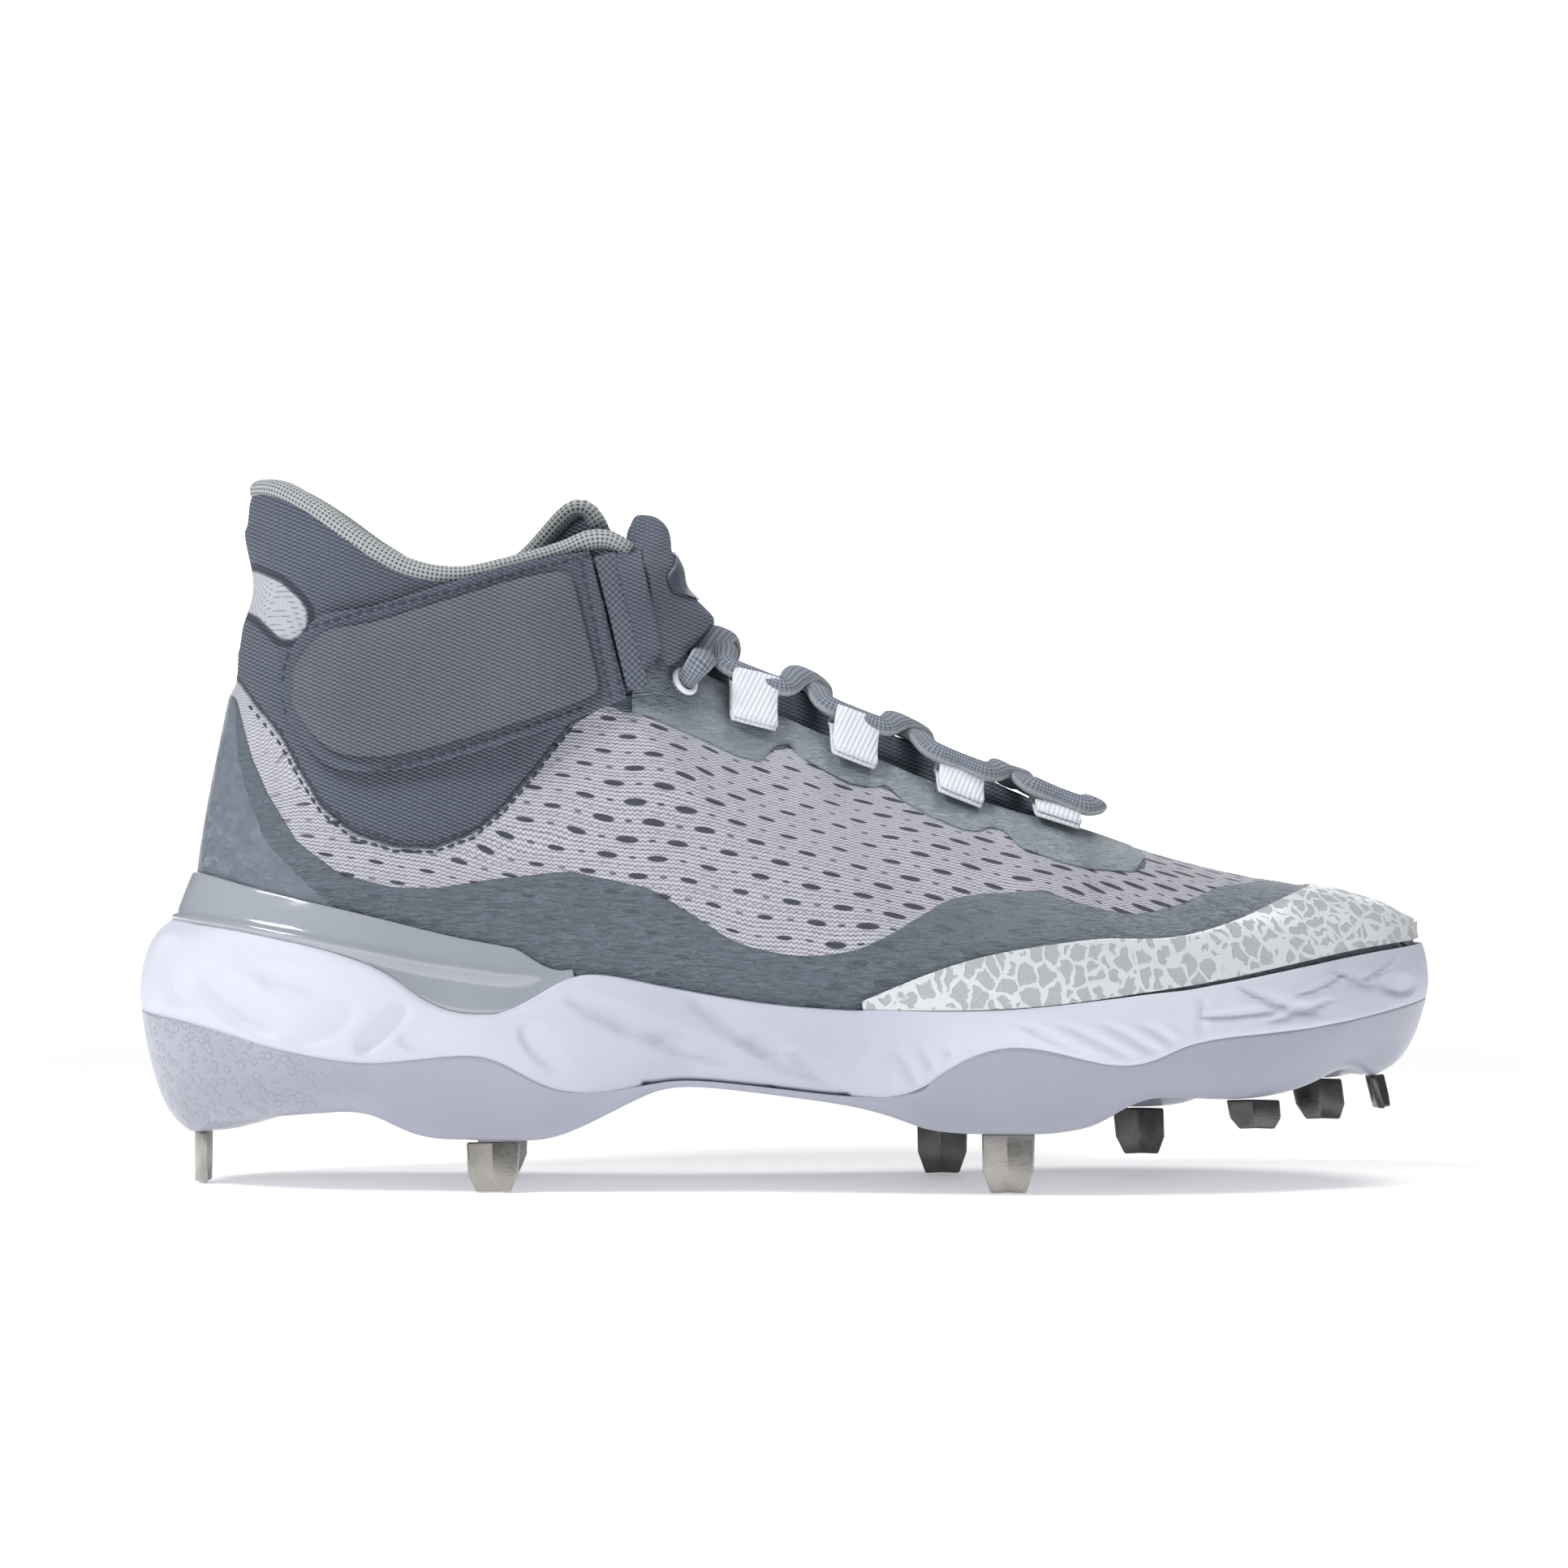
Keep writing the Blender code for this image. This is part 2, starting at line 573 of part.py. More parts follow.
def with_pods(point, z, pull=1.0):
    """The height of the tread at a point once the pods are drawn down from it."""
    lowest = z
    for pod in PODS:
        offset = point - pod_centre(pod)
        near = 1 - math.hypot(offset.x / (pod.reach_x * SHOE_LENGTH), offset.y / (pod.reach_y * SOLE_WIDTH))
        lowest = min(lowest, mix(z, pod_centre(pod).z, smoothstep(near / 0.5) * pull))
    return lowest


def outsole_side(part, level):
    """An edge of the outsole's side, part of the way out to the join and a share of the way up to it."""

    def edge(share, side):
        inset = mix(sole_side["tuck"](share), sole_side["join"](share), part) * SOLE_WIDTH
        point, _ = plan_point(SOLE_PLAN, share, side, -inset)
        height = mix(sole_z("tread", share), sole_z("join", share), level)
        point.z = with_pods(point, height, (1 - level) ** 2)
        return point

    return edge


def flange_edge(share, side, clear=0.0):
    inset = sole_side["join"](share) * SOLE_WIDTH + FLANGE + clear
    point, _ = plan_point(SOLE_PLAN, share, side, -inset)
    point.z = sole_z("join", share) + clear
    return point


def flange_foot(share, side, clear=0.0):
    inset = sole_side["join"](share) * SOLE_WIDTH + FLANGE + FLANGE_SLOPE + clear
    point, _ = plan_point(SOLE_PLAN, share, side, -inset)
    point.z = min(sole_z("join", share), sole_z("platform", share) - FOAM_LEAST) + clear
    return point


def plate_sheet(clear):
    """The face where the plate meets the foam: low in the middle, up to the flange at the edge."""
    reach = SOLE_WIDTH / 2 / SHOE_LENGTH

    def level(share, t, point):
        high = flange_foot(share, LATERAL).z
        low = min(sole_z("tread", share) + PLATE, high)
        out = max(abs(t), 1 - share / reach, 1 - (1 - share) / reach)
        return mix(low, high, smoothstep((out - 0.7) / 0.3)) + clear

    return [
        across(share, SOLE_SPANS, lambda s, side: flange_foot(s, side, clear), level)
        for share in SOLE_STATIONS
    ]


def outsole(material):
    """The hard plate with its upturned edge, and pods that stand down to the spikes."""
    bm = bmesh.new()
    tread = outsole_side(0.0, 0.0)
    edges = [tread, outsole_side(0.45, 0.24), outsole_side(0.80, 0.56), outsole_side(1.0, 1.0)]
    edges += [flange_edge, flange_foot]
    add_sheet(bm, [ring(SOLE_STATIONS, edge) for edge in edges])
    add_sheet(bm, plate_sheet(0.0))

    def level(share, t, point):
        return with_pods(point, sole_z("tread", share))

    add_sheet(bm, [across(share, SOLE_SPANS, tread, level) for share in SOLE_STATIONS])
    return finish("outsole", bm, material)


def lip(share):
    """The width of the midsole's rim, which widens under the heel clip."""
    return mix(HEEL_LIP, LIP, smoothstep((share - 0.27) / 0.08))


def rim_edge(share, side):
    """The midsole's outer edge beside the wall, at the height of the rim."""
    inner = footbed_share(share)
    along = share_of(foot_point(inner, side)[0].x)
    return beside_wall(inner, side, sole_z("rim", along), GAP + lip(along))


def cup_edges(tree):
    """The footbed's edge and the rim's inner edge, clear of the upper, by station and side."""
    places = [(share, LATERAL) for share in SOLE_STATIONS]
    places += [(share, MEDIAL) for share in reversed(SOLE_STATIONS)]
    low, high, outs = [], [], []
    for share, side in places:
        inner = footbed_share(share)
        point, out = foot_point(inner, side)
        low.append(beside_wall(inner, side, point.z, GAP) - UP * GAP)
        high.append(beside_wall(inner, side, sole_z("rim", share_of(point.x)), GAP))
        outs.append(out)
    rows = cleared([low, high], [outs, outs], tree, GAP)
    return [dict(zip(places, brought_together(*pair))) for pair in zip((low, high), rows)]


def foam_join(share, side):
    point = outsole_side(1.0, 1.0)(share, side)
    return point + UP * GAP


SWELL = 0.9  # twice the height where the foam's side stands out furthest


def foam_side(level):
    """An edge of the foam's side that swells out to the sole's outline between the join and the rim."""

    def edge(share, side):
        low, top = foam_join(share, side), rim_edge(share, side)
        full, _ = plan_point(SOLE_PLAN, share, side, -sole_side["bulge"](share) * SOLE_WIDTH)
        point = low.lerp(top, level)
        full.z = point.z
        return point.lerp(full, 1 - (2 * level - SWELL) ** 2)

    return edge


def midsole(tree, material):
    """The foam: a footbed inside a rim that hugs the upper, full sides, and the plate's hollow below."""
    bm = bmesh.new()
    footbed, rim = cup_edges(tree)

    def footbed_edge(share, side):
        return footbed[share, side]

    edges = [footbed_edge, lambda s, side: rim[s, side], rim_edge]
    edges += [foam_side(0.76), foam_side(0.36), foam_join]
    edges += [lambda s, side: flange_edge(s, side, GAP), lambda s, side: flange_foot(s, side, GAP)]
    add_sheet(bm, [ring(SOLE_STATIONS, edge) for edge in edges])
    add_sheet(bm, plate_sheet(GAP))
    rows = [across(s, FOOTBED_SPANS, footbed_edge, lambda s, t, point: point.z) for s in SOLE_STATIONS]
    add_sheet(bm, rows)
    return finish("midsole", bm, material)


def insole(tree, material):
    """The sock liner on the footbed, inside the upper's wall."""
    bm = bmesh.new()
    stations = end_spread(18)
    places = [(share, LATERAL) for share in stations] + [(share, MEDIAL) for share in reversed(stations)]
    rows, ways = [], [[-foot_point(share, side)[1] for share, side in places]] * 2
    for lift in (0.0, INSOLE):
        levels = [foot_point(share, side)[0].z + lift for share, side in places]
        rows.append([beside_wall(*place, z, -UPPER_WALL - GAP) for place, z in zip(places, levels)])
    rows = [brought_together(*pair) for pair in zip(rows, cleared(rows, ways, tree, GAP))]
    add_sheet(bm, rows)
    for row in rows:
        edge = dict(zip(places, row))
        lines = [
            across(s, FOOTBED_SPANS, lambda s, side: edge[s, side], lambda s, t, p: p.z)
            for s in stations
        ]
        add_sheet(bm, lines)
    return finish("insole", bm, material)


CLIP_TIP = 0.300  # the foot of the section where the heel clip's two tips end
UPPER_COLUMNS = spread(0, 1, 20) + spread(1, 2, 10)[1:]
ROWS_BELOW, ROWS_ABOVE = 5, 6


def seam_height(share, side):
    """The grid row that follows the collar's seam, and past the collar the middle of the wall."""
    low = height_at(share, side, upper_z(collar_seam(share)))
    return mix(low, 0.5, smoothstep((share - 0.33) / 0.12))


def upper(material):
    """The upper's one wall: knit from the footbed, with the collar's padding raised on its outside."""
    bm = bmesh.new()
    above = spread(0, 1, ROWS_ABOVE + 1)[1:]
    for side in (LATERAL, MEDIAL):
        outer, inner = [], []
        for q in UPPER_COLUMNS:
            seam = seam_height(station(q), side)
            pad_start = seam + 0.022
            heights = spread(0, seam, ROWS_BELOW + 1) + [pad_start] + [mix(pad_start, 1, t) for t in above]
            outer.append([skin_point(q, height, side) for height in heights])
            inner.append([lining_point(q, height, side) for height in heights])
        add_sheet(bm, outer)
        add_sheet(bm, inner)
        add_sheet(bm, [[row[0] for row in outer], [row[0] for row in inner]])
        open_top = [k for k, q in enumerate(UPPER_COLUMNS) if q <= 1]
        add_sheet(bm, [[outer[k][-1] for k in open_top], [inner[k][-1] for k in open_top]])
    return finish("upper", bm, material)


def heel_clip(tree, material):
    """The moulded cup round the back of the heel, thick along its foot and thin at its top edge."""
    shares = [share for share in map(footbed_share, SOLE_STATIONS) if share <= CLIP_TIP]
    columns = [(share, LATERAL) for share in reversed(shares)] + [(share, MEDIAL) for share in shares[1:]]
    levels = spread(0, 1, 4)
    inner, ways, thick = [], [], []
    for share, side in columns:
        point, out = foot_point(share, side)
        along = share_of(point.x)
        low, high = sole_z("rim", along) + GAP, sole_z("cup", along)
        foot = min(CLIP_FOOT, lip(along) - 2 * GAP)
        inner.append([beside_wall(share, side, mix(low, high, t), GAP) for t in levels])
        ways.append([out] * len(levels))
        thick.append([mix(foot, CLIP_EDGE, t) for t in levels])
    inner = cleared(inner, ways, tree, GAP)
    outer = [[point + way * by for point, way, by in zip(*line)] for line in zip(inner, ways, thick)]
    return slab("heel_clip", outer, inner, material)


# The upper edge of the toe guard and the lower edge of the eyestay, by the foot of their section and as
# shares of the section's own wall height
Edge = namedtuple("Edge", "foot height")
TOE_GUARD_EDGE = [
    Edge(0.545, 0.06),
    Edge(0.600, 0.22),
    Edge(0.650, 0.31),
    Edge(0.720, 0.34),
    Edge(0.780, 0.36),
    Edge(0.830, 0.45),
    Edge(0.880, 0.66),
    Edge(0.910, 1.00),
]
EYESTAY_EDGE = [
    Edge(0.415, 0.74),
    Edge(0.450, 0.77),
    Edge(0.500, 0.80),
    Edge(0.560, 0.80),
    Edge(0.640, 0.79),
    Edge(0.720, 0.79),
    Edge(0.770, 0.84),
    Edge(0.785, 1.00),
]
toe_guard_edge = curves_of(TOE_GUARD_EDGE)["height"]
eyestay_edge = curves_of(EYESTAY_EDGE)["height"]


def overlay(name, tree, shares, low, high, rows, material):
    """A fused film over the upper between two heights, on both sides and joined over the ridge."""
    bm = bmesh.new()
    starts, ways = {}, {}
    for side in (LATERAL, MEDIAL):
        columns = [(grid_column(s), spread(low(s, side), high(s, side), rows + 1)) for s in shares]
        starts[side] = [[skin_point(q, height, side, GAP) for height in heights] for q, heights in columns]
        ways[side] = [[wall_normal(q, height, side) for height in heights] for q, heights in columns]
    inners = {side: cleared(starts[side], ways[side], tree, OVERLAY_GAP) for side in starts}
    for k in range(len(shares)):
        before = starts[LATERAL][k] + starts[MEDIAL][k]
        after = brought_together(before, inners[LATERAL][k] + inners[MEDIAL][k])
        inners[LATERAL][k], inners[MEDIAL][k] = after[: rows + 1], after[rows + 1 :]
    for side, inner in inners.items():
        outer = moved(inner, ways[side], OVERLAY)
        add_sheet(bm, outer)
        add_sheet(bm, inner)
        add_sheet(bm, [outer[0], inner[0]])
        add_sheet(bm, [[row[0] for row in outer], [row[0] for row in inner]])
        split = [k for k, share in enumerate(shares) if share < VAMP_POINT or high(share, side) < WELDED]
        top = range(split[-1] + 2)
        add_sheet(bm, [[outer[k][-1] for k in top], [inner[k][-1] for k in top]])
    return finish(name, bm, material)


def toe_guard(tree, material):
    def low(share, side):
        rim = sole_z("rim", share_of(foot_point(share, side)[0].x))
        return height_at(share, side, rim + GAP + OVERLAY / 2)

    def high(share, side):
        return max(toe_guard_edge(share), low(share, side) + 0.02)

    shares = [station(q) for q in spread(grid_column(0.545), grid_column(0.910), 10)]
    shares += [station(q) for q in spread(grid_column(0.910), 2, 7)[1:]]
    return overlay("toe_guard", tree, shares, low, high, 3, material)


def eyestay(tree, material):
    shares = [station(q) for q in spread(grid_column(0.415), 1, 13)]
    shares += [0.755, 0.770, 0.785]
    return overlay("eyestay", tree, shares, lambda s, side: eyestay_edge(s), lambda s, side: 1.0, 2, material)


# The tongue's middle line, by the foot of the throat's section beside it. along and height place the middle,
# as shares of SHOE_LENGTH and UPPER_HEIGHT, and tuck is how far the tongue runs under the wall's edges.
Spine = namedtuple("Spine", "foot along height tuck")
TONGUE = [
    Spine(0.390, 0.3770, 0.925, 0.05),
    Spine(0.410, 0.3850, 0.862, 0.06),
    Spine(0.440, 0.4050, 0.784, 0.08),
    Spine(0.475, 0.4433, 0.686, 0.10),
    Spine(0.540, 0.5180, 0.610, 0.12),
    Spine(0.610, 0.5880, 0.536, 0.14),
    Spine(0.680, 0.6620, 0.455, 0.16),
    Spine(0.732, 0.7200, 0.390, 0.18),
]
tongue_line = curves_of(TONGUE)
TONGUE_SPANS = (-1.0, -0.8, -0.6, -0.3, 0.0, 0.3, 0.6, 0.8, 1.0)
TONGUE_FOLD = 0.6  # the share of the tongue's half width that shows in the throat
TONGUE_CLEAR = 2 * GAP
ARCH_POWER = 2.2  # how full the arches of the tongue and of the lace over it are


def tongue_row(foot):
    """Points across the tongue: arched in the throat and under the wall beside it."""
    tuck = tongue_line["tuck"](foot)
    q = grid_column(foot)
    if foot >= VAMP_POINT:
        sides = [LATERAL if t < 0 else MEDIAL for t in TONGUE_SPANS]
        shares = [1 - tuck * abs(t) for t in TONGUE_SPANS]
        return [lining_point(q, share, side, TONGUE_CLEAR) for share, side in zip(shares, sides)]
    ends = {side: lining_point(q, 1.0, side, TONGUE_CLEAR) for side in (LATERAL, MEDIAL)}
    x = shoe_x(tongue_line["along"](foot))
    top = Vector((x, centre_y(x), upper_z(tongue_line["height"](foot))))
    low = (ends[LATERAL] + ends[MEDIAL]) / 2
    row = []
    for t in TONGUE_SPANS:
        side = LATERAL if t < 0 else MEDIAL
        under = (abs(t) - TONGUE_FOLD) / (1 - TONGUE_FOLD)
        if under > 0:
            row.append(lining_point(q, 1 - tuck * under, side, TONGUE_CLEAR))
        else:
            part = abs(t) / TONGUE_FOLD
            row.append(low.lerp(ends[side], part) + (top - low) * (1 - part**ARCH_POWER))
    return row


def tongue(tree, material):
    """The padded tongue from under the vamp up to the front of the ankle."""
    feet = [row.foot for row in TONGUE] + [0.760, 0.800]
    rows = [tongue_row(foot) for foot in feet]
    behind = Vector((shoe_x(0.40), 0, FOOTBED_Z))
    normals = sheet_normals(rows, behind)
    inwards = [[-normal for normal in line] for line in normals]
    rows = cleared(rows, inwards, tree, GAP)
    return slab("tongue", rows, moved(rows, inwards, TONGUE_PAD), material)


def surface_of(*objects):
    """The joined surface of some objects, for laying another piece on it."""
    points, faces = [], []
    for obj in objects:
        start = len(points)
        points += [vertex.co.copy() for vertex in obj.data.vertices]
        faces += [[start + k for k in polygon.vertices] for polygon in obj.data.polygons]
    return BVHTree.FromPolygons(points, faces)


def lay_beside(tree, x, z, side, lift):
    """The outermost point of a surface at a place in the side view, and the given distance out from it.

    Past the surface's rim the band runs on straight up from it.
    """
    start = Vector((x, side * SOLE_WIDTH, z))
    hit = tree.ray_cast(start, Vector((0, -side, 0)))[0] or tree.find_nearest(start)[0]
    return Vector((x, hit.y + side * lift, z))


def lay_round(tree, angle, z, lift, turns=(0.0,), rises=(0.0,)):
    """A point in a direction from the ankle's upright axis, lifted off a surface and what stands out near."""
    axis = Vector((ANKLE_X, centre_y(ANKLE_X), 0))
    reach = 0.0
    for turn in turns:
        for rise in rises:
            out = Vector((math.cos(angle + turn), math.sin(angle + turn), 0))
            level = min(z + rise, upper_z(PANEL_FREE))
            start = axis + UP * level + out * SOLE_WIDTH
            reach = max(reach, SOLE_WIDTH - tree.ray_cast(start, -out)[3])
    out = Vector((math.cos(angle), math.sin(angle), 0))
    return axis + UP * z + out * (reach + lift)


ANKLE_X = shoe_x(0.240)  # the ankle's upright axis
# The strap's tab on the lateral side by its place along the shoe: the height of its middle as a share of
# UPPER_HEIGHT and its half width as a share of STRAP_WIDTH
Tab = namedtuple("Tab", "along middle half")
TAB = [
    Tab(0.120, 0.648, 0.490),
    Tab(0.178, 0.637, 0.495),
    Tab(0.254, 0.677, 0.500),
    Tab(0.305, 0.713, 0.500),
    Tab(0.366, 0.752, 0.455),
    Tab(0.400, 0.775, 0.455),
]
tab_line = curves_of(TAB)
TAB_FRONT = 0.366  # where the tab's front edge crosses the middle of the strap
TAB_SLANT = 0.26  # how far the strap's cross edges lean forward, as a share of their height below its middle
TAB_ROUND = Round(0.42 * STRAP_WIDTH, 2.2)
PANEL_ALONG = 0.388  # where the ankle panel's edge crosses the middle of the strap
# The ankle panel from its lower to its upper edge: the height of its middle and of its side edges as shares
# of UPPER_HEIGHT, and its thickness over the tongue there as a share of TONGUE_PAD
Panel = namedtuple("Panel", "level middle side stand")
PANEL = [
    Panel(0.00, 0.748, 0.680, 0.40),
    Panel(0.10, 0.760, 0.692, 1.05),
    Panel(0.24, 0.772, 0.700, 1.75),
    Panel(0.38, 0.805, 0.740, 1.55),
    Panel(0.52, 0.845, 0.780, 0.80),
    Panel(0.68, 0.882, 0.820, 1.65),
    Panel(0.86, 0.925, 0.860, 2.20),
    Panel(1.00, 0.955, 0.885, 1.30),
]
panel_line = curves_of(PANEL)


def strap_x(along, part):
    """A cross line of the strap in the side view: part runs from -1 at its lower to 1 at its upper edge."""
    half = tab_line["half"](along) * STRAP_WIDTH
    return shoe_x(along) - TAB_SLANT * part * half


def strap_z(along, part, half_share=1.0):
    half = tab_line["half"](along) * STRAP_WIDTH * half_share
    return upper_z(tab_line["middle"](along)) + part * half


Band = namedtuple("Band", "side start end columns rows share rounded taut")


def strap_band(name, tree, band, thickness, material):
    """A band laid on the ankle's side between two places along the shoe, with a round end if asked.

    thickness gives a point's thickness from its shares along and across the band. A taut band runs straight
    along its length over what lies behind it.
    """
    inner, ways, thick = [], [], []
    for u in spread(0, 1, band.columns):
        along = mix(band.start, band.end, u)
        depth = (along - band.start) * SHOE_LENGTH / TAB_ROUND.length
        narrow = band.share
        slant = 1.0
        if band.rounded:
            narrow *= mix(0.30, 1.0, round_end(depth, TAB_ROUND.power))
            slant = smoothstep(2 * u)
        parts = spread(-1, 1, band.rows)
        places = [(strap_x(along, part * narrow * slant), strap_z(along, part, narrow)) for part in parts]
        inner.append([lay_beside(tree, x, z, band.side, GAP) for x, z in places])
        ways.append([Vector((0, band.side, 0))] * band.rows)
        thick.append([thickness(u, part) for part in parts])
    if band.taut:
        for k in range(band.rows):
            reach = max(line[k].y * band.side for line in inner)
            for line in inner:
                line[k].y = reach * band.side
    inner = cleared(inner, ways, tree, STRAP_GAP)
    outer = [[point + way * by for point, way, by in zip(*line)] for line in zip(inner, ways, thick)]
    return slab(name, outer, inner, material)


PANEL_FREE = 0.890  # above this share of UPPER_HEIGHT the panel stands free of the tongue
PANEL_TURNS = (-0.09, 0.0, 0.09)  # how far round a point of the panel clears what stands out
PANEL_RISES = (-4 * MM, 0.0, 4 * MM)  # and how far above and below it
PANEL_SPANS = (-1.0, -0.86, -0.55, -0.2, 0.2, 0.55, 0.86, 1.0)
BADGE_LEVEL = 0.52  # the dip between the panel's two rolls
BADGE_RISES = (-1 * MM, 0.0, 1 * MM)
BADGE_WIDTH = 32 * MM
BADGE_HEIGHT = 11 * MM
BADGE_SAG = 2.5 * MM  # how far its two ends hang below its middle


def ankle_panel(tree, material):
    """The padded panel over the front of the ankle, with two full rolls and a dip between them."""
    inner, ways, stands = [], [], []
    for level in spread(0, 1, 9):
        edge_x = strap_x(PANEL_ALONG, 2 * level - 1)
        side_z = upper_z(panel_line["side"](level))
        edge = lay_beside(tree, edge_x, side_z, LATERAL, 0)
        edge_angle = math.atan2(edge.y, edge.x - ANKLE_X)
        points, outs, thick = [], [], []
        for t in PANEL_SPANS:
            z = mix(upper_z(panel_line["middle"](level)), side_z, t * t)
            angle = abs(edge_angle) * t
            points.append(lay_round(tree, angle, z, 2 * GAP, PANEL_TURNS, PANEL_RISES))
            outs.append(Vector((math.cos(angle), math.sin(angle), 0)))
            middle = panel_line["stand"](level) * TONGUE_PAD
            thick.append(mix(middle, PANEL_EDGE, smoothstep((abs(t) - 0.5) / 0.4)))
        inner.append(points)
        ways.append(outs)
        stands.append(thick)
    inner = cleared(inner, ways, tree, GAP)
    outer = [[point + way * by for point, way, by in zip(*line)] for line in zip(inner, ways, stands)]
    return slab("ankle_panel", outer, inner, material)


# A spike's blade from its root to its tip: how far down, and its width as a share of SPIKE_WIDTH
Blade = namedtuple("Blade", "down width")
BLADE = (Blade(0.0, 1.0), Blade(0.62, 0.96), Blade(1.0, 0.66))


def spike(pod, material):
    """A bent steel blade from its pod's face down to its tip."""
    face = pod_centre(pod)
    top, tip = face.z - GAP, pod.tip * SPIKE_DROP
    turn, lean = math.radians(pod.turn), math.tan(math.radians(pod.lean))
    wide = Vector((math.cos(turn), math.sin(turn), 0))
    deep = Vector((-math.sin(turn), math.cos(turn), 0))
    rings = []
    for level in BLADE:
        z = mix(top, tip, level.down)
        centre = Vector((face.x + lean * (top - z), face.y, z))
        loop = []
        for across_it, depth in ((-0.5, 0), (0, SPIKE_BEND), (0.5, 0)):
            loop.append(centre + wide * across_it * level.width * SPIKE_WIDTH + deep * depth)
        for across_it, depth in ((0.5, 0), (0, SPIKE_BEND), (-0.5, 0)):
            loop.append(centre + wide * across_it * level.width * SPIKE_WIDTH + deep * (depth - SPIKE_THICK))
        rings.append(loop)
    bm = bmesh.new()
    grid = [[bm.verts.new(point) for point in loop] for loop in rings]
    for low, high in zip(grid, grid[1:]):
        for k in range(6):
            bm.faces.new((low[k - 1], low[k], high[k], high[k - 1]))
    for loop in (grid[0], grid[-1]):
        bm.faces.new((loop[0], loop[1], loop[4], loop[5]))
        bm.faces.new((loop[1], loop[2], loop[3], loop[4]))
    return finish(f"spike_{pod.name}", bm, material)


def badge(panel, material):
    """The plain oval badge in the dip of the ankle panel."""
    tree = surface_of(panel)
    middle = upper_z(panel_line["middle"](BADGE_LEVEL))
    inner, outer = [], []
    for t in spread(-1, 1, 7):
        angle = t * BADGE_WIDTH / 2 / (shoe_x(0.42) - ANKLE_X)
        tall = BADGE_HEIGHT / 2 * mix(0.35, 1.0, math.sqrt(1 - t * t))
        heights = [middle - BADGE_SAG * t * t + tall * part for part in (-1, 0, 1)]
        points = [lay_round(tree, angle, z, 2 * GAP, PANEL_TURNS, BADGE_RISES) for z in heights]
        out = Vector((math.cos(angle), math.sin(angle), 0))
        inner.append(points)
        outer.append([point + out * BADGE_THICK for point in points])
    return slab("badge", outer, inner, material)


LOOP_FEET = (0.503, 0.574, 0.650, 0.718)  # the lace loops, by the foot of their section
RING_FOOT = 0.452  # the ring eyelets
RING_DOWN = 12 * MM  # how far below the throat's edge they lie
RING_SIDES, RIM_SIDES = 12, 5
STAY_TOP = GAP + OVERLAY  # the outside of the eyestay over the wall
EYE_LEAST = 40  # degrees of a loop's round end that are left out on each side of its foot


def down_wall(q, side, distance):
    """The height on a section's wall that lies the given distance below its top edge."""
    top = skin_point(q, 1.0, side)
    low, high = 0.4, 1.0
    for _ in range(18):
        middle = (low + high) / 2
        if (skin_point(q, middle, side) - top).length > distance:
            low = middle
        else:
            high = middle
    return high


Frame = namedtuple("Frame", "centre up_wall out forward")


def edge_frame(foot, side, down, lift):
    """A place on the eyestay: its centre, the way up the wall, the way out of it and the way to the toe."""
    q = grid_column(foot)
    height = down_wall(q, side, down)
    centre = skin_point(q, height, side, lift)
    up_wall = (centre - skin_point(q, height - 0.03, side, lift)).normalized()
    forward = skin_point(q + 0.01, height, side, lift) - skin_point(q - 0.01, height, side, lift)
    forward = (forward - up_wall * forward.dot(up_wall)).normalized()
    out = forward.cross(up_wall) * -side
    return Frame(centre, up_wall, out.normalized(), forward)


def eye_frame(foot, side):
    """The middle of a lace loop's round end, past the throat's edge."""
    lift = STAY_TOP + 2 * GAP + WEBBING / 2 + EYE_RADIUS * math.sin(math.radians(EYE_LEAST))
    frame = edge_frame(foot, side, 0.0, lift)
    return frame._replace(centre=frame.centre + frame.up_wall * EYE_RADIUS)


def lace_loop(name, tree, foot, side, material):
    """A strip of webbing folded round the lace, with both its ends on the eyestay."""
    eye = eye_frame(foot, side)
    q = grid_column(foot)
    stops = [down_wall(q, side, LOOP_LENGTH - EYE_RADIUS), down_wall(q, side, (LOOP_LENGTH - EYE_RADIUS) / 2)]
    half = eye.forward * LOOP_WIDTH / 2
    feet = [skin_point(q, height, side, STAY_TOP + GAP + WEBBING / 2) for height in stops]
    arc = []
    for degrees in (EYE_LEAST - 180, -85, -25, 25, 85, 180 - EYE_LEAST):
        turn = math.radians(degrees)
        arc.append(eye.centre + (eye.up_wall * math.cos(turn) + eye.out * math.sin(turn)) * EYE_RADIUS)
    lower = [[point - half, point + half] for point in feet + arc[:2]]
    lower = cleared(lower, [[eye.out] * 2] * 4, tree, 1.3 * GAP + WEBBING / 2)
    under = [low.lerp(high, 0.5) for low, high in lower]
    back = [point + eye.out * (WEBBING + GAP) for point in under[:2]]
    path = under + arc[2:] + back[::-1]
    outer, inner = [], []
    for k, point in enumerate(path):
        run = path[min(k + 1, len(path) - 1)] - path[max(k - 1, 0)]
        away = run.cross(eye.forward).normalized() * WEBBING / 2
        outer.append([point + away - half, point + away + half])
        inner.append([point - away - half, point - away + half])
    return slab(name, outer, inner, material)


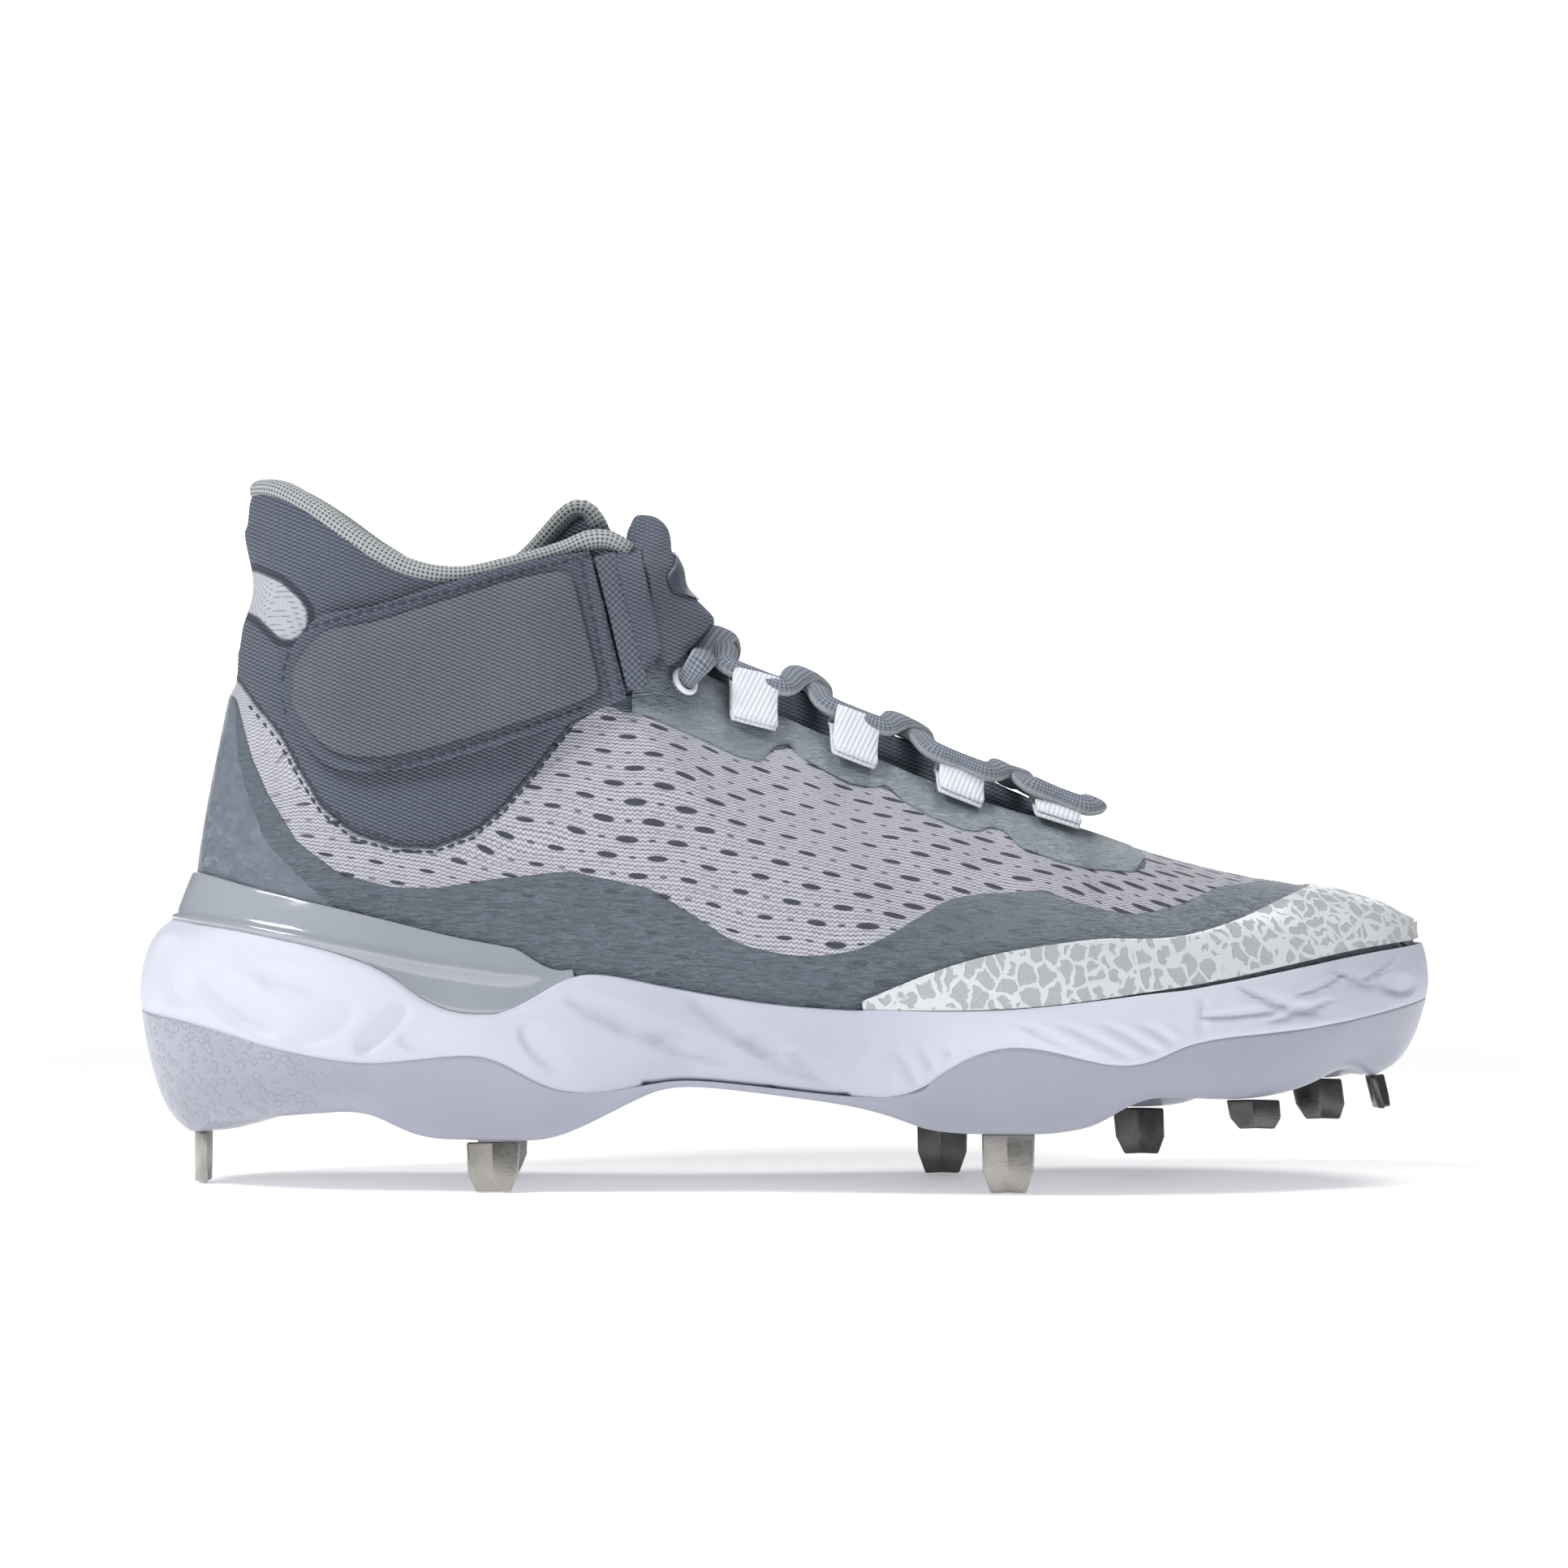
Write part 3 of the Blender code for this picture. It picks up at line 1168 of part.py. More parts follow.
def ring_eyelet(name, tree, side, material):
    """The top eyelet: a plain moulded ring on the eyestay."""
    frame = edge_frame(RING_FOOT, side, RING_DOWN, STAY_TOP + GAP + RING_RIM)
    turns = [math.tau * i / RING_SIDES for i in range(RING_SIDES)]
    outs = [frame.up_wall * math.cos(turn) + frame.forward * math.sin(turn) for turn in turns]
    circle = [frame.centre + out * RING_RADIUS for out in outs]
    rooms = []
    for point in circle:
        near, normal = tree.find_nearest(point)[:2]
        rooms.append((point - near).dot(normal))
    rise = frame.out * max(0.0, GAP + RING_RIM - min(rooms))
    rows = []
    for out, point in zip(outs + outs[:1], circle + circle[:1]):
        tilts = [math.tau * (j % RIM_SIDES) / RIM_SIDES for j in range(RIM_SIDES + 1)]
        rows.append([point + rise + (out * math.cos(a) + frame.out * math.sin(a)) * RING_RIM for a in tilts])
    bm = bmesh.new()
    add_sheet(bm, rows)
    return finish(name, bm, material)


LACE_LIFT = 3.2 * MM  # how far out of a loop's middle a stretch of lace ends
LACE_SHORT = 5.2 * MM  # how far from a loop's webbing a stretch of lace ends
LACE_CLEAR = 3.4 * MM  # the first crossing's height over the eyestay and its ring
RING_AHEAD = 0.013  # how far past its ring eyelet the first crossing passes the throat's edge
LACE_SIDES = 6
Rest = namedtuple("Rest", "point up")  # a point of a lace's middle line and the way its broad side faces


def lace_run(name, rests, material):
    """A stretch of flat oval lace along its resting points."""
    rows = []
    for k, rest in enumerate(rests):
        run = (rests[min(k + 1, len(rests) - 1)].point - rests[max(k - 1, 0)].point).normalized()
        wide = run.cross(rest.up).normalized()
        deep = wide.cross(run)
        row = []
        for j in range(LACE_SIDES + 1):
            turn = math.tau * (j % LACE_SIDES) / LACE_SIDES
            offset = wide * math.cos(turn) * LACE_WIDTH / 2 + deep * math.sin(turn) * LACE_THICK / 2
            row.append(rest.point + offset)
        rows.append(row)
    bm = bmesh.new()
    add_sheet(bm, rows)
    for row in (rows[0], rows[-1]):
        bm.faces.new([bm.verts.new(point) for point in row[:LACE_SIDES]])
    return finish(name, bm, material)


def lace_arch(start, top, end):
    """Rests along an arch from one rest over a second to a third."""
    rise = top.point - (start.point + end.point) / 2
    rests = []
    for t in spread(0, 1, 7):
        side = start if t < 0.5 else end
        height = 1 - abs(2 * t - 1) ** ARCH_POWER
        point = start.point.lerp(end.point, t) + rise * height
        rests.append(Rest(point, side.up.lerp(top.up, 1 - abs(2 * t - 1)).normalized()))
    return rests


def lace_end(foot, side, way):
    """Where a stretch of lace stops beside a loop, before it for way -1 and past it for way 1."""
    eye = eye_frame(foot, side)
    away = eye.forward * way * (LOOP_WIDTH / 2 + LACE_SHORT)
    return Rest(eye.centre + away + eye.out * LACE_LIFT, eye.out)


def ring_end(side):
    """Where the topmost stretch of lace stops over its ring eyelet."""
    frame = edge_frame(RING_FOOT, side, RING_DOWN, STAY_TOP + LACE_CLEAR + 2 * RING_RIM + LACE_THICK / 2)
    return Rest(frame.centre, frame.out)


def throat_rest(foot, side):
    """Where a lace lies over the eyestay at the throat's edge."""
    q = grid_column(foot)
    normal = wall_normal(q, 1.0, side)
    return Rest(skin_point(q, 1.0, side, STAY_TOP + LACE_CLEAR + RING_RIM + LACE_THICK / 2), normal)


def lace_top(foot):
    """Where a crossing lies over the middle of the tongue."""
    row = tongue_row(foot)
    middle = row[len(row) // 2]
    along = tongue_row(foot + 0.01)[len(row) // 2] - tongue_row(foot - 0.01)[len(row) // 2]
    up = Vector((-along.z, 0, along.x)).normalized()
    return Rest(middle + up * (LACE_THICK / 2 + 2 * GAP), up)


def laces(material):
    """The crossings between the loops and the bar at the front, each one joined solid."""
    rows = (RING_FOOT,) + LOOP_FEET
    for k in range(4):
        top = lace_top(mix(rows[k], rows[k + 1], 0.60))
        runs = []
        for side in (LATERAL, MEDIAL):
            start = throat_rest(rows[k] + RING_AHEAD, side) if k == 0 else lace_end(rows[k], side, 1)
            rests = lace_arch(start, top, lace_end(rows[k + 1], -side, -1))
            if k == 0:
                rests.insert(0, ring_end(side))
            name = f"lace_crossing_{k + 1}" if side == LATERAL else f"lace_under_{k + 1}"
            runs.append(lace_run(name, rests, material))
        runs[1].hide_render = True
        runs[1].display_type = "WIRE"
        join = runs[0].modifiers.new("join", "BOOLEAN")
        join.operation = "UNION"
        join.object = runs[1]
    middle = skin_point(1.0, 1.0, LATERAL, STAY_TOP + 4 * GAP + LACE_THICK / 2)
    top = Rest(middle, wall_normal(1.0, 1.0, LATERAL))
    ends = [lace_end(rows[-1], side, 1) for side in (LATERAL, MEDIAL)]
    lace_run("lace_bar", lace_arch(ends[0], top, ends[1]), material)


def paint(name, colour, roughness, metallic=0.0):
    material = bpy.data.materials.new(name)
    material.use_nodes = True
    shader = material.node_tree.nodes["Principled BSDF"]
    shader.inputs["Base Color"].default_value = (*colour, 1)
    shader.inputs["Roughness"].default_value = roughness
    shader.inputs["Metallic"].default_value = metallic
    return material


def main():
    for obj in list(bpy.data.objects):
        bpy.data.objects.remove(obj)
    plate = paint("plate", (0.80, 0.80, 0.88), 0.45)
    foam = paint("foam", (0.82, 0.82, 0.90), 0.6)
    clip = paint("clip", (0.42, 0.44, 0.52), 0.25)
    knit = paint("knit", (0.50, 0.50, 0.54), 0.8)
    guard = paint("guard", (0.55, 0.57, 0.60), 0.5)
    film = paint("film", (0.20, 0.24, 0.27), 0.45)
    padded = paint("padded", (0.13, 0.17, 0.22), 0.9)
    white = paint("webbing", (0.8, 0.8, 0.84), 0.8)
    lace = paint("lace", (0.10, 0.13, 0.17), 0.9)
    lining = paint("lining", (0.10, 0.11, 0.13), 0.95)
    eyelet = paint("eyelet", (0.8, 0.8, 0.84), 0.5)
    steel = paint("steel", (0.6, 0.6, 0.62), 0.3, 1.0)
    outsole(plate)
    shell = upper(knit)
    wall = surface_of(shell)
    midsole(wall, foam)
    insole(wall, lining)
    heel_clip(wall, clip)
    toe_guard(wall, guard)
    stay = eyestay(wall, film)
    middle = tongue(wall, padded)
    for pod in PODS:
        spike(pod, steel)
    ankle = surface_of(shell, middle, stay)
    panel = ankle_panel(ankle, padded)
    badge(panel, film)
    slack = 2 * GAP / SHOE_LENGTH
    tab = Band(LATERAL, 0.120, TAB_FRONT, 11, 5, 1.0, True, False)
    tab_piece = strap_band("strap_tab", ankle, tab, lambda u, part: STRAP, padded)

    def crown(u, part):
        return STRAP_PAD * mix(0.2, 1.0, min(round_end(2.5 * (1 - abs(part))), round_end(9 * min(u, 1 - u))))

    pad = tab._replace(start=0.128, end=0.350, rows=6, share=0.82)
    strap_band("strap_pad", surface_of(tab_piece), pad, crown, padded)
    webbing = tab._replace(start=TAB_FRONT + slack, end=PANEL_ALONG - 2 * slack, columns=3, share=0.9)
    webbing = webbing._replace(rounded=False, taut=True)
    strap_band("strap_webbing", ankle, webbing, lambda u, part: STRAP * 0.7, padded)
    anchor = webbing._replace(side=MEDIAL, start=0.215, end=0.345, columns=6, taut=False)
    strap_band("strap_anchor", ankle, anchor, lambda u, part: STRAP, padded)
    throat = surface_of(shell, stay)
    for side, word in ((LATERAL, "lateral"), (MEDIAL, "medial")):
        for k, foot in enumerate(LOOP_FEET):
            lace_loop(f"lace_loop_{word}_{k + 1}", throat, foot, side, white)
        ring_eyelet(f"ring_eyelet_{word}", throat, side, eyelet)
    laces(lace)


main()
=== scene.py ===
import math

import bmesh
import bpy
import numpy as np
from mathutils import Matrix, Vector
from mathutils.bvhtree import BVHTree


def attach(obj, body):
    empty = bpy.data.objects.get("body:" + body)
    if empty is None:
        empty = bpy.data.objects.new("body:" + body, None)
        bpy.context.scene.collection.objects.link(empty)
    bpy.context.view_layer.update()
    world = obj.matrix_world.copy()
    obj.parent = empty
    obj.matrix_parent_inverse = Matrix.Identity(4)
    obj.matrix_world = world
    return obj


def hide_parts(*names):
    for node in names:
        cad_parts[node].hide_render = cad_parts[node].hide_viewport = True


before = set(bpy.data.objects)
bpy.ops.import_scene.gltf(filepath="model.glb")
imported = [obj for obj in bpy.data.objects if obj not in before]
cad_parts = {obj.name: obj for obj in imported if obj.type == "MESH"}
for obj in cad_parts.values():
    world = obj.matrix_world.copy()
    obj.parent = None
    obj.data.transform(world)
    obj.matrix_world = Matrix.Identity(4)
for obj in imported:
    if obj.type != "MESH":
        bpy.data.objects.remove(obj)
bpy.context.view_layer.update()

# A right baseball cleat. Metres, toe to +X, outer side to -Y. Sizes ending in Mm are millimetres.
mm = 0.001
photo = {
    "mmPerPixel": 0.1886,  # on the shoe's middle plane
    "middleX": 968.5,
    "floorY": 1454.3,
    "cameraDistance": 1.272,
    "cameraHeight": 0.100,
    "lens": 125.7,
    "shiftY": -0.0217,
}


def deselectAll():
    for thing in bpy.context.selected_objects:
        thing.select_set(False)


def makeActive(piece):
    deselectAll()
    piece.select_set(True)
    bpy.context.view_layer.objects.active = piece


def applyModifier(piece, kind, **settings):
    makeActive(piece)
    modifier = piece.modifiers.new(kind.lower(), kind)
    for name, value in settings.items():
        setattr(modifier, name, value)
    bpy.ops.object.modifier_apply(modifier=modifier.name)


def newPiece(name, data):
    piece = bpy.data.objects.new(name, data)
    bpy.context.scene.collection.objects.link(piece)
    return piece


def freshCopy(node, name):
    # a merged copy of a node's mesh, in quads where they can be paired
    piece = newPiece(name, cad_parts[node].data.copy())
    piece.data.materials.clear()
    makeActive(piece)
    bpy.ops.object.mode_set(mode="EDIT")
    bpy.ops.mesh.select_all(action="SELECT")
    bpy.ops.mesh.remove_doubles(threshold=0.02 * mm)
    bpy.ops.mesh.tris_convert_to_quads(face_threshold=math.pi, shape_threshold=math.pi)
    bpy.ops.mesh.faces_shade_smooth()
    bpy.ops.object.mode_set(mode="OBJECT")
    for layer in list(piece.data.attributes):
        if layer.name in ("sharp_edge", "sharp_face", "custom_normal"):
            piece.data.attributes.remove(layer)
    return piece


def creaseSharp(piece, degrees, crease=1.0):
    # keeps the piece's own corners when it is subdivided
    mesh = bmesh.new()
    mesh.from_mesh(piece.data)
    layer = mesh.edges.layers.float.get("crease_edge") or mesh.edges.layers.float.new("crease_edge")
    for edge in mesh.edges:
        if len(edge.link_faces) == 2 and edge.calc_face_angle() > math.radians(degrees):
            edge[layer] = crease
    mesh.to_mesh(piece.data)
    mesh.free()


def soften(piece, levels):
    applyModifier(piece, "SUBSURF", levels=levels, render_levels=levels)


def vectorsOf(rows, name):
    values = np.empty(len(rows) * 3, np.float32)
    rows.foreach_get(name, values)
    return values.reshape(-1, 3).astype(float)


def pointsOf(piece):
    return vectorsOf(piece.data.vertices, "co")


def normalsOf(piece):
    return vectorsOf(piece.data.vertex_normals, "vector")


def setPoints(piece, points):
    piece.data.vertices.foreach_set("co", points.astype(np.float32).ravel())
    piece.data.update()


def setAttribute(piece, name, values):
    layer = piece.data.attributes.get(name) or piece.data.attributes.new(name, "FLOAT", "POINT")
    layer.data.foreach_set("value", np.asarray(values, np.float32))


def smooth(values, low, high):
    t = np.clip((values - low) / (high - low), 0, 1)
    return t * t * (3 - 2 * t)


def bell(distance, width):
    return np.exp(-((distance / width) ** 2))


def seenAt(points):
    # where the camera sees each point, in the photo's pixels, and the inner side as its mirror twin
    near = 1 - np.abs(points[:, 1]) / photo["cameraDistance"]
    height = photo["cameraHeight"]
    pixels = photo["mmPerPixel"] * mm
    across = photo["middleX"] + points[:, 0] / near / pixels
    down = photo["floorY"] - (height + (points[:, 2] - height) / near) / pixels
    return across, down


def lineDistance(across, down, line):
    best = np.full(across.shape, 1e9)
    for (ax, ay), (bx, by) in zip(line, line[1:]):
        length = (bx - ax) ** 2 + (by - ay) ** 2
        t = np.clip(((across - ax) * (bx - ax) + (down - ay) * (by - ay)) / length, 0, 1)
        best = np.minimum(best, np.hypot(across - ax - t * (bx - ax), down - ay - t * (by - ay)))
    return best * photo["mmPerPixel"]


def zoneDepth(points, outline):
    # millimetres inside an outline drawn on the side view, negative outside it
    across, down = seenAt(points)
    inside = np.zeros(across.shape, bool)
    closed = outline + outline[:1]
    for (ax, ay), (bx, by) in zip(closed, closed[1:]):
        if ay != by:
            crosses = (ay > down) != (by > down)
            inside ^= crosses & (across < (bx - ax) * (down - ay) / (by - ay) + ax)
    return np.where(inside, 1, -1) * lineDistance(across, down, closed)


def treeOf(*pieces):
    points, faces = [], []
    for piece in pieces:
        start = len(points)
        points += [vertex.co.copy() for vertex in piece.data.vertices]
        faces += [[start + k for k in face.vertices] for face in piece.data.polygons]
    return BVHTree.FromPolygons(points, faces)


def closeGap(piece, tree, reach, leave=0.05):
    # moves an edge that runs along another piece up to it
    points = pointsOf(piece)
    for k, point in enumerate(points):
        near, _, _, distance = tree.find_nearest(Vector(point), reach * mm)
        if near is not None and distance > leave * mm:
            share = min(1.0, (reach - distance / mm) / (reach * 0.4))
            points[k] += (np.array(near) - point) * (1 - leave * mm / distance) * share
    setPoints(piece, points)


def placeOnSide(tree, px, py, side=-1, lift=0.0):
    # the point of a surface that the camera sees at a pixel, or its mirror twin on the inner side
    pixels = photo["mmPerPixel"] * mm
    eye = Vector((0, side * photo["cameraDistance"], photo["cameraHeight"]))
    spot = Vector(((px - photo["middleX"]) * pixels, 0, (photo["floorY"] - py) * pixels))
    hit, normal = tree.ray_cast(eye, (spot - eye).normalized())[:2]
    return (None, None) if hit is None else (hit + normal * lift, normal)


def give(piece, material, slot, *nodes):
    piece.data.materials.clear()
    piece.data.materials.append(material)
    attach(piece, "root")
    if nodes:
        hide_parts(*nodes)
    return piece


# ---- the paint box: shader maths as Python expressions
class Wire:
    def __init__(self, finish, socket):
        self.finish, self.socket = finish, socket

    def __add__(self, other):
        return self.finish.math("ADD", self, other)

    def __sub__(self, other):
        return self.finish.math("SUBTRACT", self, other)

    def __mul__(self, other):
        return self.finish.math("MULTIPLY", self, other)

    def __truediv__(self, other):
        return self.finish.math("DIVIDE", self, other)

    def __rsub__(self, other):
        return self.finish.math("SUBTRACT", other, self)

    __radd__ = __add__
    __rmul__ = __mul__


class Finish:
    def __init__(self, name, colour, roughness, **constants):
        self.material = bpy.data.materials.new(name)
        self.material.use_nodes = True
        self.nodes = self.material.node_tree.nodes
        self.links = self.material.node_tree.links
        self.shader = self.nodes["Principled BSDF"]
        self.shader.inputs["Base Color"].default_value = (*colour, 1)
        self.shader.inputs["Roughness"].default_value = roughness
        for socket, value in constants.items():
            self.shader.inputs[socket.replace("_", " ")].default_value = value
        place = self.node("ShaderNodeTexCoord", {}, {}, "Object")
        self.place = self.vector("SCALE", place, Scale=1000)
        self.x, self.y, self.z = self.parts(self.place)

    def node(self, kind, settings, sockets, output=0):
        made = self.nodes.new(kind)
        for name, value in settings.items():
            setattr(made, name, value)
        for key, value in sockets.items():
            if isinstance(value, Wire):
                self.links.new(value.socket, made.inputs[key])
            elif value is not None:
                made.inputs[key].default_value = value
        return Wire(self, made.outputs[output])

    def math(self, operation, a, b=None, c=None):
        return self.node("ShaderNodeMath", {"operation": operation}, {0: a, 1: b, 2: c})

    def vector(self, operation, a, b=None, **more):
        sockets = {0: a, 1: b}
        sockets.update(more)
        return self.node("ShaderNodeVectorMath", {"operation": operation}, sockets)

    def step(self, value, low, high):
        settings = {"interpolation_type": "SMOOTHSTEP"}
        return self.node("ShaderNodeMapRange", settings, {0: value, 1: low, 2: high})

    def attribute(self, name):
        return self.node("ShaderNodeAttribute", {"attribute_name": name}, {}, "Fac")

    def stretched(self, x, y, z, turn=0.0):
        sockets = {"Vector": self.place, "Scale": (x, y, z), "Rotation": (0, turn, 0)}
        return self.node("ShaderNodeMapping", {}, sockets)

    def noise(self, scale, detail=2.0, where=None, distortion=0.0):
        sockets = {"Vector": where or self.place, "Scale": scale, "Detail": detail, "Distortion": distortion}
        return self.node("ShaderNodeTexNoise", {}, sockets, "Fac")

    def blend(self, mask, a, b):
        a = a if isinstance(a, Wire) else (*a, 1)
        b = b if isinstance(b, Wire) else (*b, 1)
        return self.node("ShaderNodeMix", {"data_type": "RGBA"}, {0: mask, 6: a, 7: b}, 2)

    def choose(self, mask, a, b):
        return self.node("ShaderNodeMix", {}, {0: mask, 2: a, 3: b})

    def parts(self, vector):
        split = self.node("ShaderNodeSeparateXYZ", {}, {0: vector})
        return [Wire(self, socket) for socket in split.socket.node.outputs]

    def alongAround(self):
        # a swept cord's own map: millimetres along it, and the share of the way round it
        return self.parts(self.node("ShaderNodeUVMap", {"uv_map": "UVMap"}, {}))[:2]

    def wave(self, turn):
        return self.math("SINE", turn) * 0.5 + 0.5

    def weave(self, scale=1.0):
        # the slanting rows of woven padding, about 1 mm apart
        wobble = self.math("SINE", self.x * (5.6 * scale)) * 0.9
        return self.wave((self.x * 0.40 + self.z) * (6.6 * scale) + wobble)

    def centred(self, value):
        return self.math("FRACT", value) - 0.5

    def oval(self, u, v, long, tall):
        # 1 on the edge of an oval, less inside it
        u, v = u / long, v / tall
        return self.math("SQRT", u * u + v * v)

    def line(self, away, near, far):
        return 1 - self.step(self.math("ABSOLUTE", away), near, far)

    def done(self, colour=None, roughness=None, height=None, depthMm=0.3, strength=1.0):
        if colour:
            self.links.new(colour.socket, self.shader.inputs["Base Color"])
        if roughness:
            self.links.new(roughness.socket, self.shader.inputs["Roughness"])
        if height:
            sockets = {"Strength": strength, "Distance": depthMm * mm, "Height": height}
            bump = self.node("ShaderNodeBump", {}, sockets)
            self.links.new(bump.socket, self.shader.inputs["Normal"])
        return self.material


# ---- camera, light and floor
studio = {
    "ambient": 0.22,
    "lights": [
        ("keyLight", (-0.80, -0.60, 1.25), 0.45, 19.0),
        ("topLight", (0.45, 0.35, 1.5), 0.8, 13.0),
        ("frontFill", (1.0, -1.5, 0.5), 0.9, 2.5),
    ],
    "papers": [
        ("floor", (0, 0.4, -0.0003), (9, 9, 1), 0.0, 0.0),
        ("backdrop", (0, 4.8, 1.2), (4, 1, 3.4), math.pi / 2, 1.0),
    ],
    # the floor glows as painted light, from its own glow near the shoe up to pure white between these
    # distances from the shoe, in mm
    "whiteFrom": 215.0,
    "whiteAt": 720.0,
}


def makeStudio():
    eye = bpy.data.cameras.new("camera")
    eye.lens, eye.sensor_width, eye.shift_y = photo["lens"], 36, photo["shiftY"]
    eye.clip_start, eye.clip_end = 0.05, 20
    camera = newPiece("camera", eye)
    camera.location = (-0.0005, -photo["cameraDistance"], photo["cameraHeight"])
    camera.rotation_euler = (math.pi / 2, 0, 0)
    bpy.context.scene.camera = camera
    world = bpy.data.worlds.new("studio")
    bpy.context.scene.world = world
    world.use_nodes = True
    sky = world.node_tree.nodes["Background"]
    sky.inputs["Color"].default_value = (0.96, 0.98, 1.0, 1)
    sky.inputs["Strength"].default_value = studio["ambient"]
    for name, place, size, power in studio["lights"]:
        lamp = bpy.data.lights.new(name, "AREA")
        lamp.energy, lamp.size = power, size
        light = newPiece(name, lamp)
        light.location = place
        light.rotation_euler = (Vector((0, 0, 0.06)) - Vector(place)).to_track_quat("-Z", "Y").to_euler()
    for name, place, size, turn, glow in studio["papers"]:
        deselectAll()
        bpy.ops.mesh.primitive_plane_add(size=1, location=place, rotation=(turn, 0, 0))
        sheet = bpy.context.object
        sheet.name = name
        makeActive(sheet)
        bpy.ops.object.mode_set(mode="EDIT")
        bpy.ops.mesh.select_all(action="SELECT")
        bpy.ops.transform.resize(value=size, center_override=place)
        bpy.ops.object.mode_set(mode="OBJECT")
        paper = Finish(name + "Paper", (0.90, 0.90, 0.90), 0.9)
        away = paper.math("SQRT", paper.x * paper.x + paper.y * paper.y)
        # painted light: the paper glows brighter away from the shoe, the floor from none to white
        white = paper.step(away, studio["whiteFrom"], studio["whiteAt"])
        bright = paper.blend(white, (glow, glow, glow), (1.0, 1.0, 1.0))
        paper.links.new(bright.socket, paper.shader.inputs["Emission Color"])
        paper.shader.inputs["Emission Strength"].default_value = 1.0
        sheet.data.materials.append(paper.material)
    bpy.context.scene.view_settings.view_transform = "Standard"


makeStudio()
print("studio ready")

colours = {
    "knit": (0.500, 0.498, 0.550),
    "knitShade": (0.165, 0.168, 0.200),
    "hole": (0.030, 0.033, 0.050),
    "film": (0.068, 0.088, 0.115),
    "filmLight": (0.115, 0.143, 0.172),
    "sheen": (0.290, 0.335, 0.372),
    "counter": (0.095, 0.115, 0.145),
    "counterLight": (0.175, 0.202, 0.243),
    "neoprene": (0.020, 0.026, 0.042),
    "neopreneLight": (0.140, 0.160, 0.205),
    "strap": (0.022, 0.027, 0.042),
    "strapLight": (0.172, 0.188, 0.222),
    "rib": (0.345, 0.365, 0.370),
    "ribShade": (0.022, 0.028, 0.038),
    "guard": (0.55, 0.575, 0.60),
    "guardCell": (0.370, 0.385, 0.395),
    "foam": (0.585, 0.600, 0.680),
    "foamShade": (0.400, 0.412, 0.495),
    "plate": (0.335, 0.345, 0.415),
    "plateShade": (0.235, 0.243, 0.305),
    "clip": (0.255, 0.278, 0.312),
    "clipTop": (0.315, 0.340, 0.385),
    "loop": (0.72, 0.74, 0.78),
    "loopShade": (0.50, 0.52, 0.58),
    "ringShade": (0.70, 0.72, 0.80),
    "lace": (0.060, 0.075, 0.102),
    "laceMid": (0.300, 0.330, 0.385),
    "laceLight": (0.40, 0.42, 0.44),
    "badge": (0.020, 0.027, 0.040),
    "thread": (0.010, 0.014, 0.026),
    "threadLight": (0.100, 0.125, 0.165),
    "window": (0.430, 0.445, 0.480),
    "windowShade": (0.235, 0.248, 0.280),
    "steel": (0.50, 0.48, 0.45),
    "steelShade": (0.20, 0.19, 0.18),
    # a darker copy of the steel, painted shade for spikes in shadow
    "darkSteel": (0.16, 0.155, 0.15),
    "darkSteelShade": (0.035, 0.034, 0.034),
}

# ---- lines of the upper, as the side view shows them, in the photo's pixels
upperLines = {
    "collarSeam": [(270, 815), (293, 839), (310, 866), (343, 906), (372, 957), (396, 995), (434, 1026),
                   (487, 1043), (535, 1044), (583, 1027), (621, 995), (654, 957), (683, 919), (707, 890),
                   (760, 856), (830, 850), (900, 800)],
    "filmTop": [(180, 858), (291, 858), (310, 933), (328, 975), (366, 1037), (420, 1078), (482, 1093),
                (531, 1095), (606, 1084), (701, 1074), (800, 1095), (850, 1125), (900, 1159), (931, 1170),
                (976, 1178), (1015, 1178), (1053, 1172), (1091, 1155), (1130, 1132), (1168, 1109),
                (1225, 1099), (1283, 1099), (1332, 1115), (1378, 1126), (1409, 1127), (1455, 1115),
                (1500, 1094), (1565, 1086), (1700, 1075)],
    "counterEdge": [(180, 840), (291, 858), (295, 933), (305, 975), (328, 1037), (366, 1078), (407, 1116),
                    (457, 1138), (459, 1200)],
    "eyestayLow": [(735, 860), (759, 876), (798, 882), (823, 893), (871, 914), (906, 931), (935, 939),
                   (957, 919), (970, 916), (986, 933), (1014, 949), (1046, 965), (1078, 971), (1091, 967),
                   (1114, 988), (1145, 1006), (1187, 1023), (1206, 1025), (1221, 1019), (1237, 1025),
                   (1256, 1044), (1302, 1061), (1340, 1071), (1397, 1075), (1411, 1069), (1409, 1055),
                   (1390, 1044), (1359, 1033), (1320, 1000)],
    "meshWindow": [(290, 700), (318, 706), (345, 718), (368, 738), (380, 757), (376, 775), (362, 789),
                   (345, 786), (318, 760), (290, 745)],
}


knitSizes = {"row": 4.1, "hole": 11.5, "pin": 3.8, "course": 0.95, "stitch": 1.15}  # pitches in mm


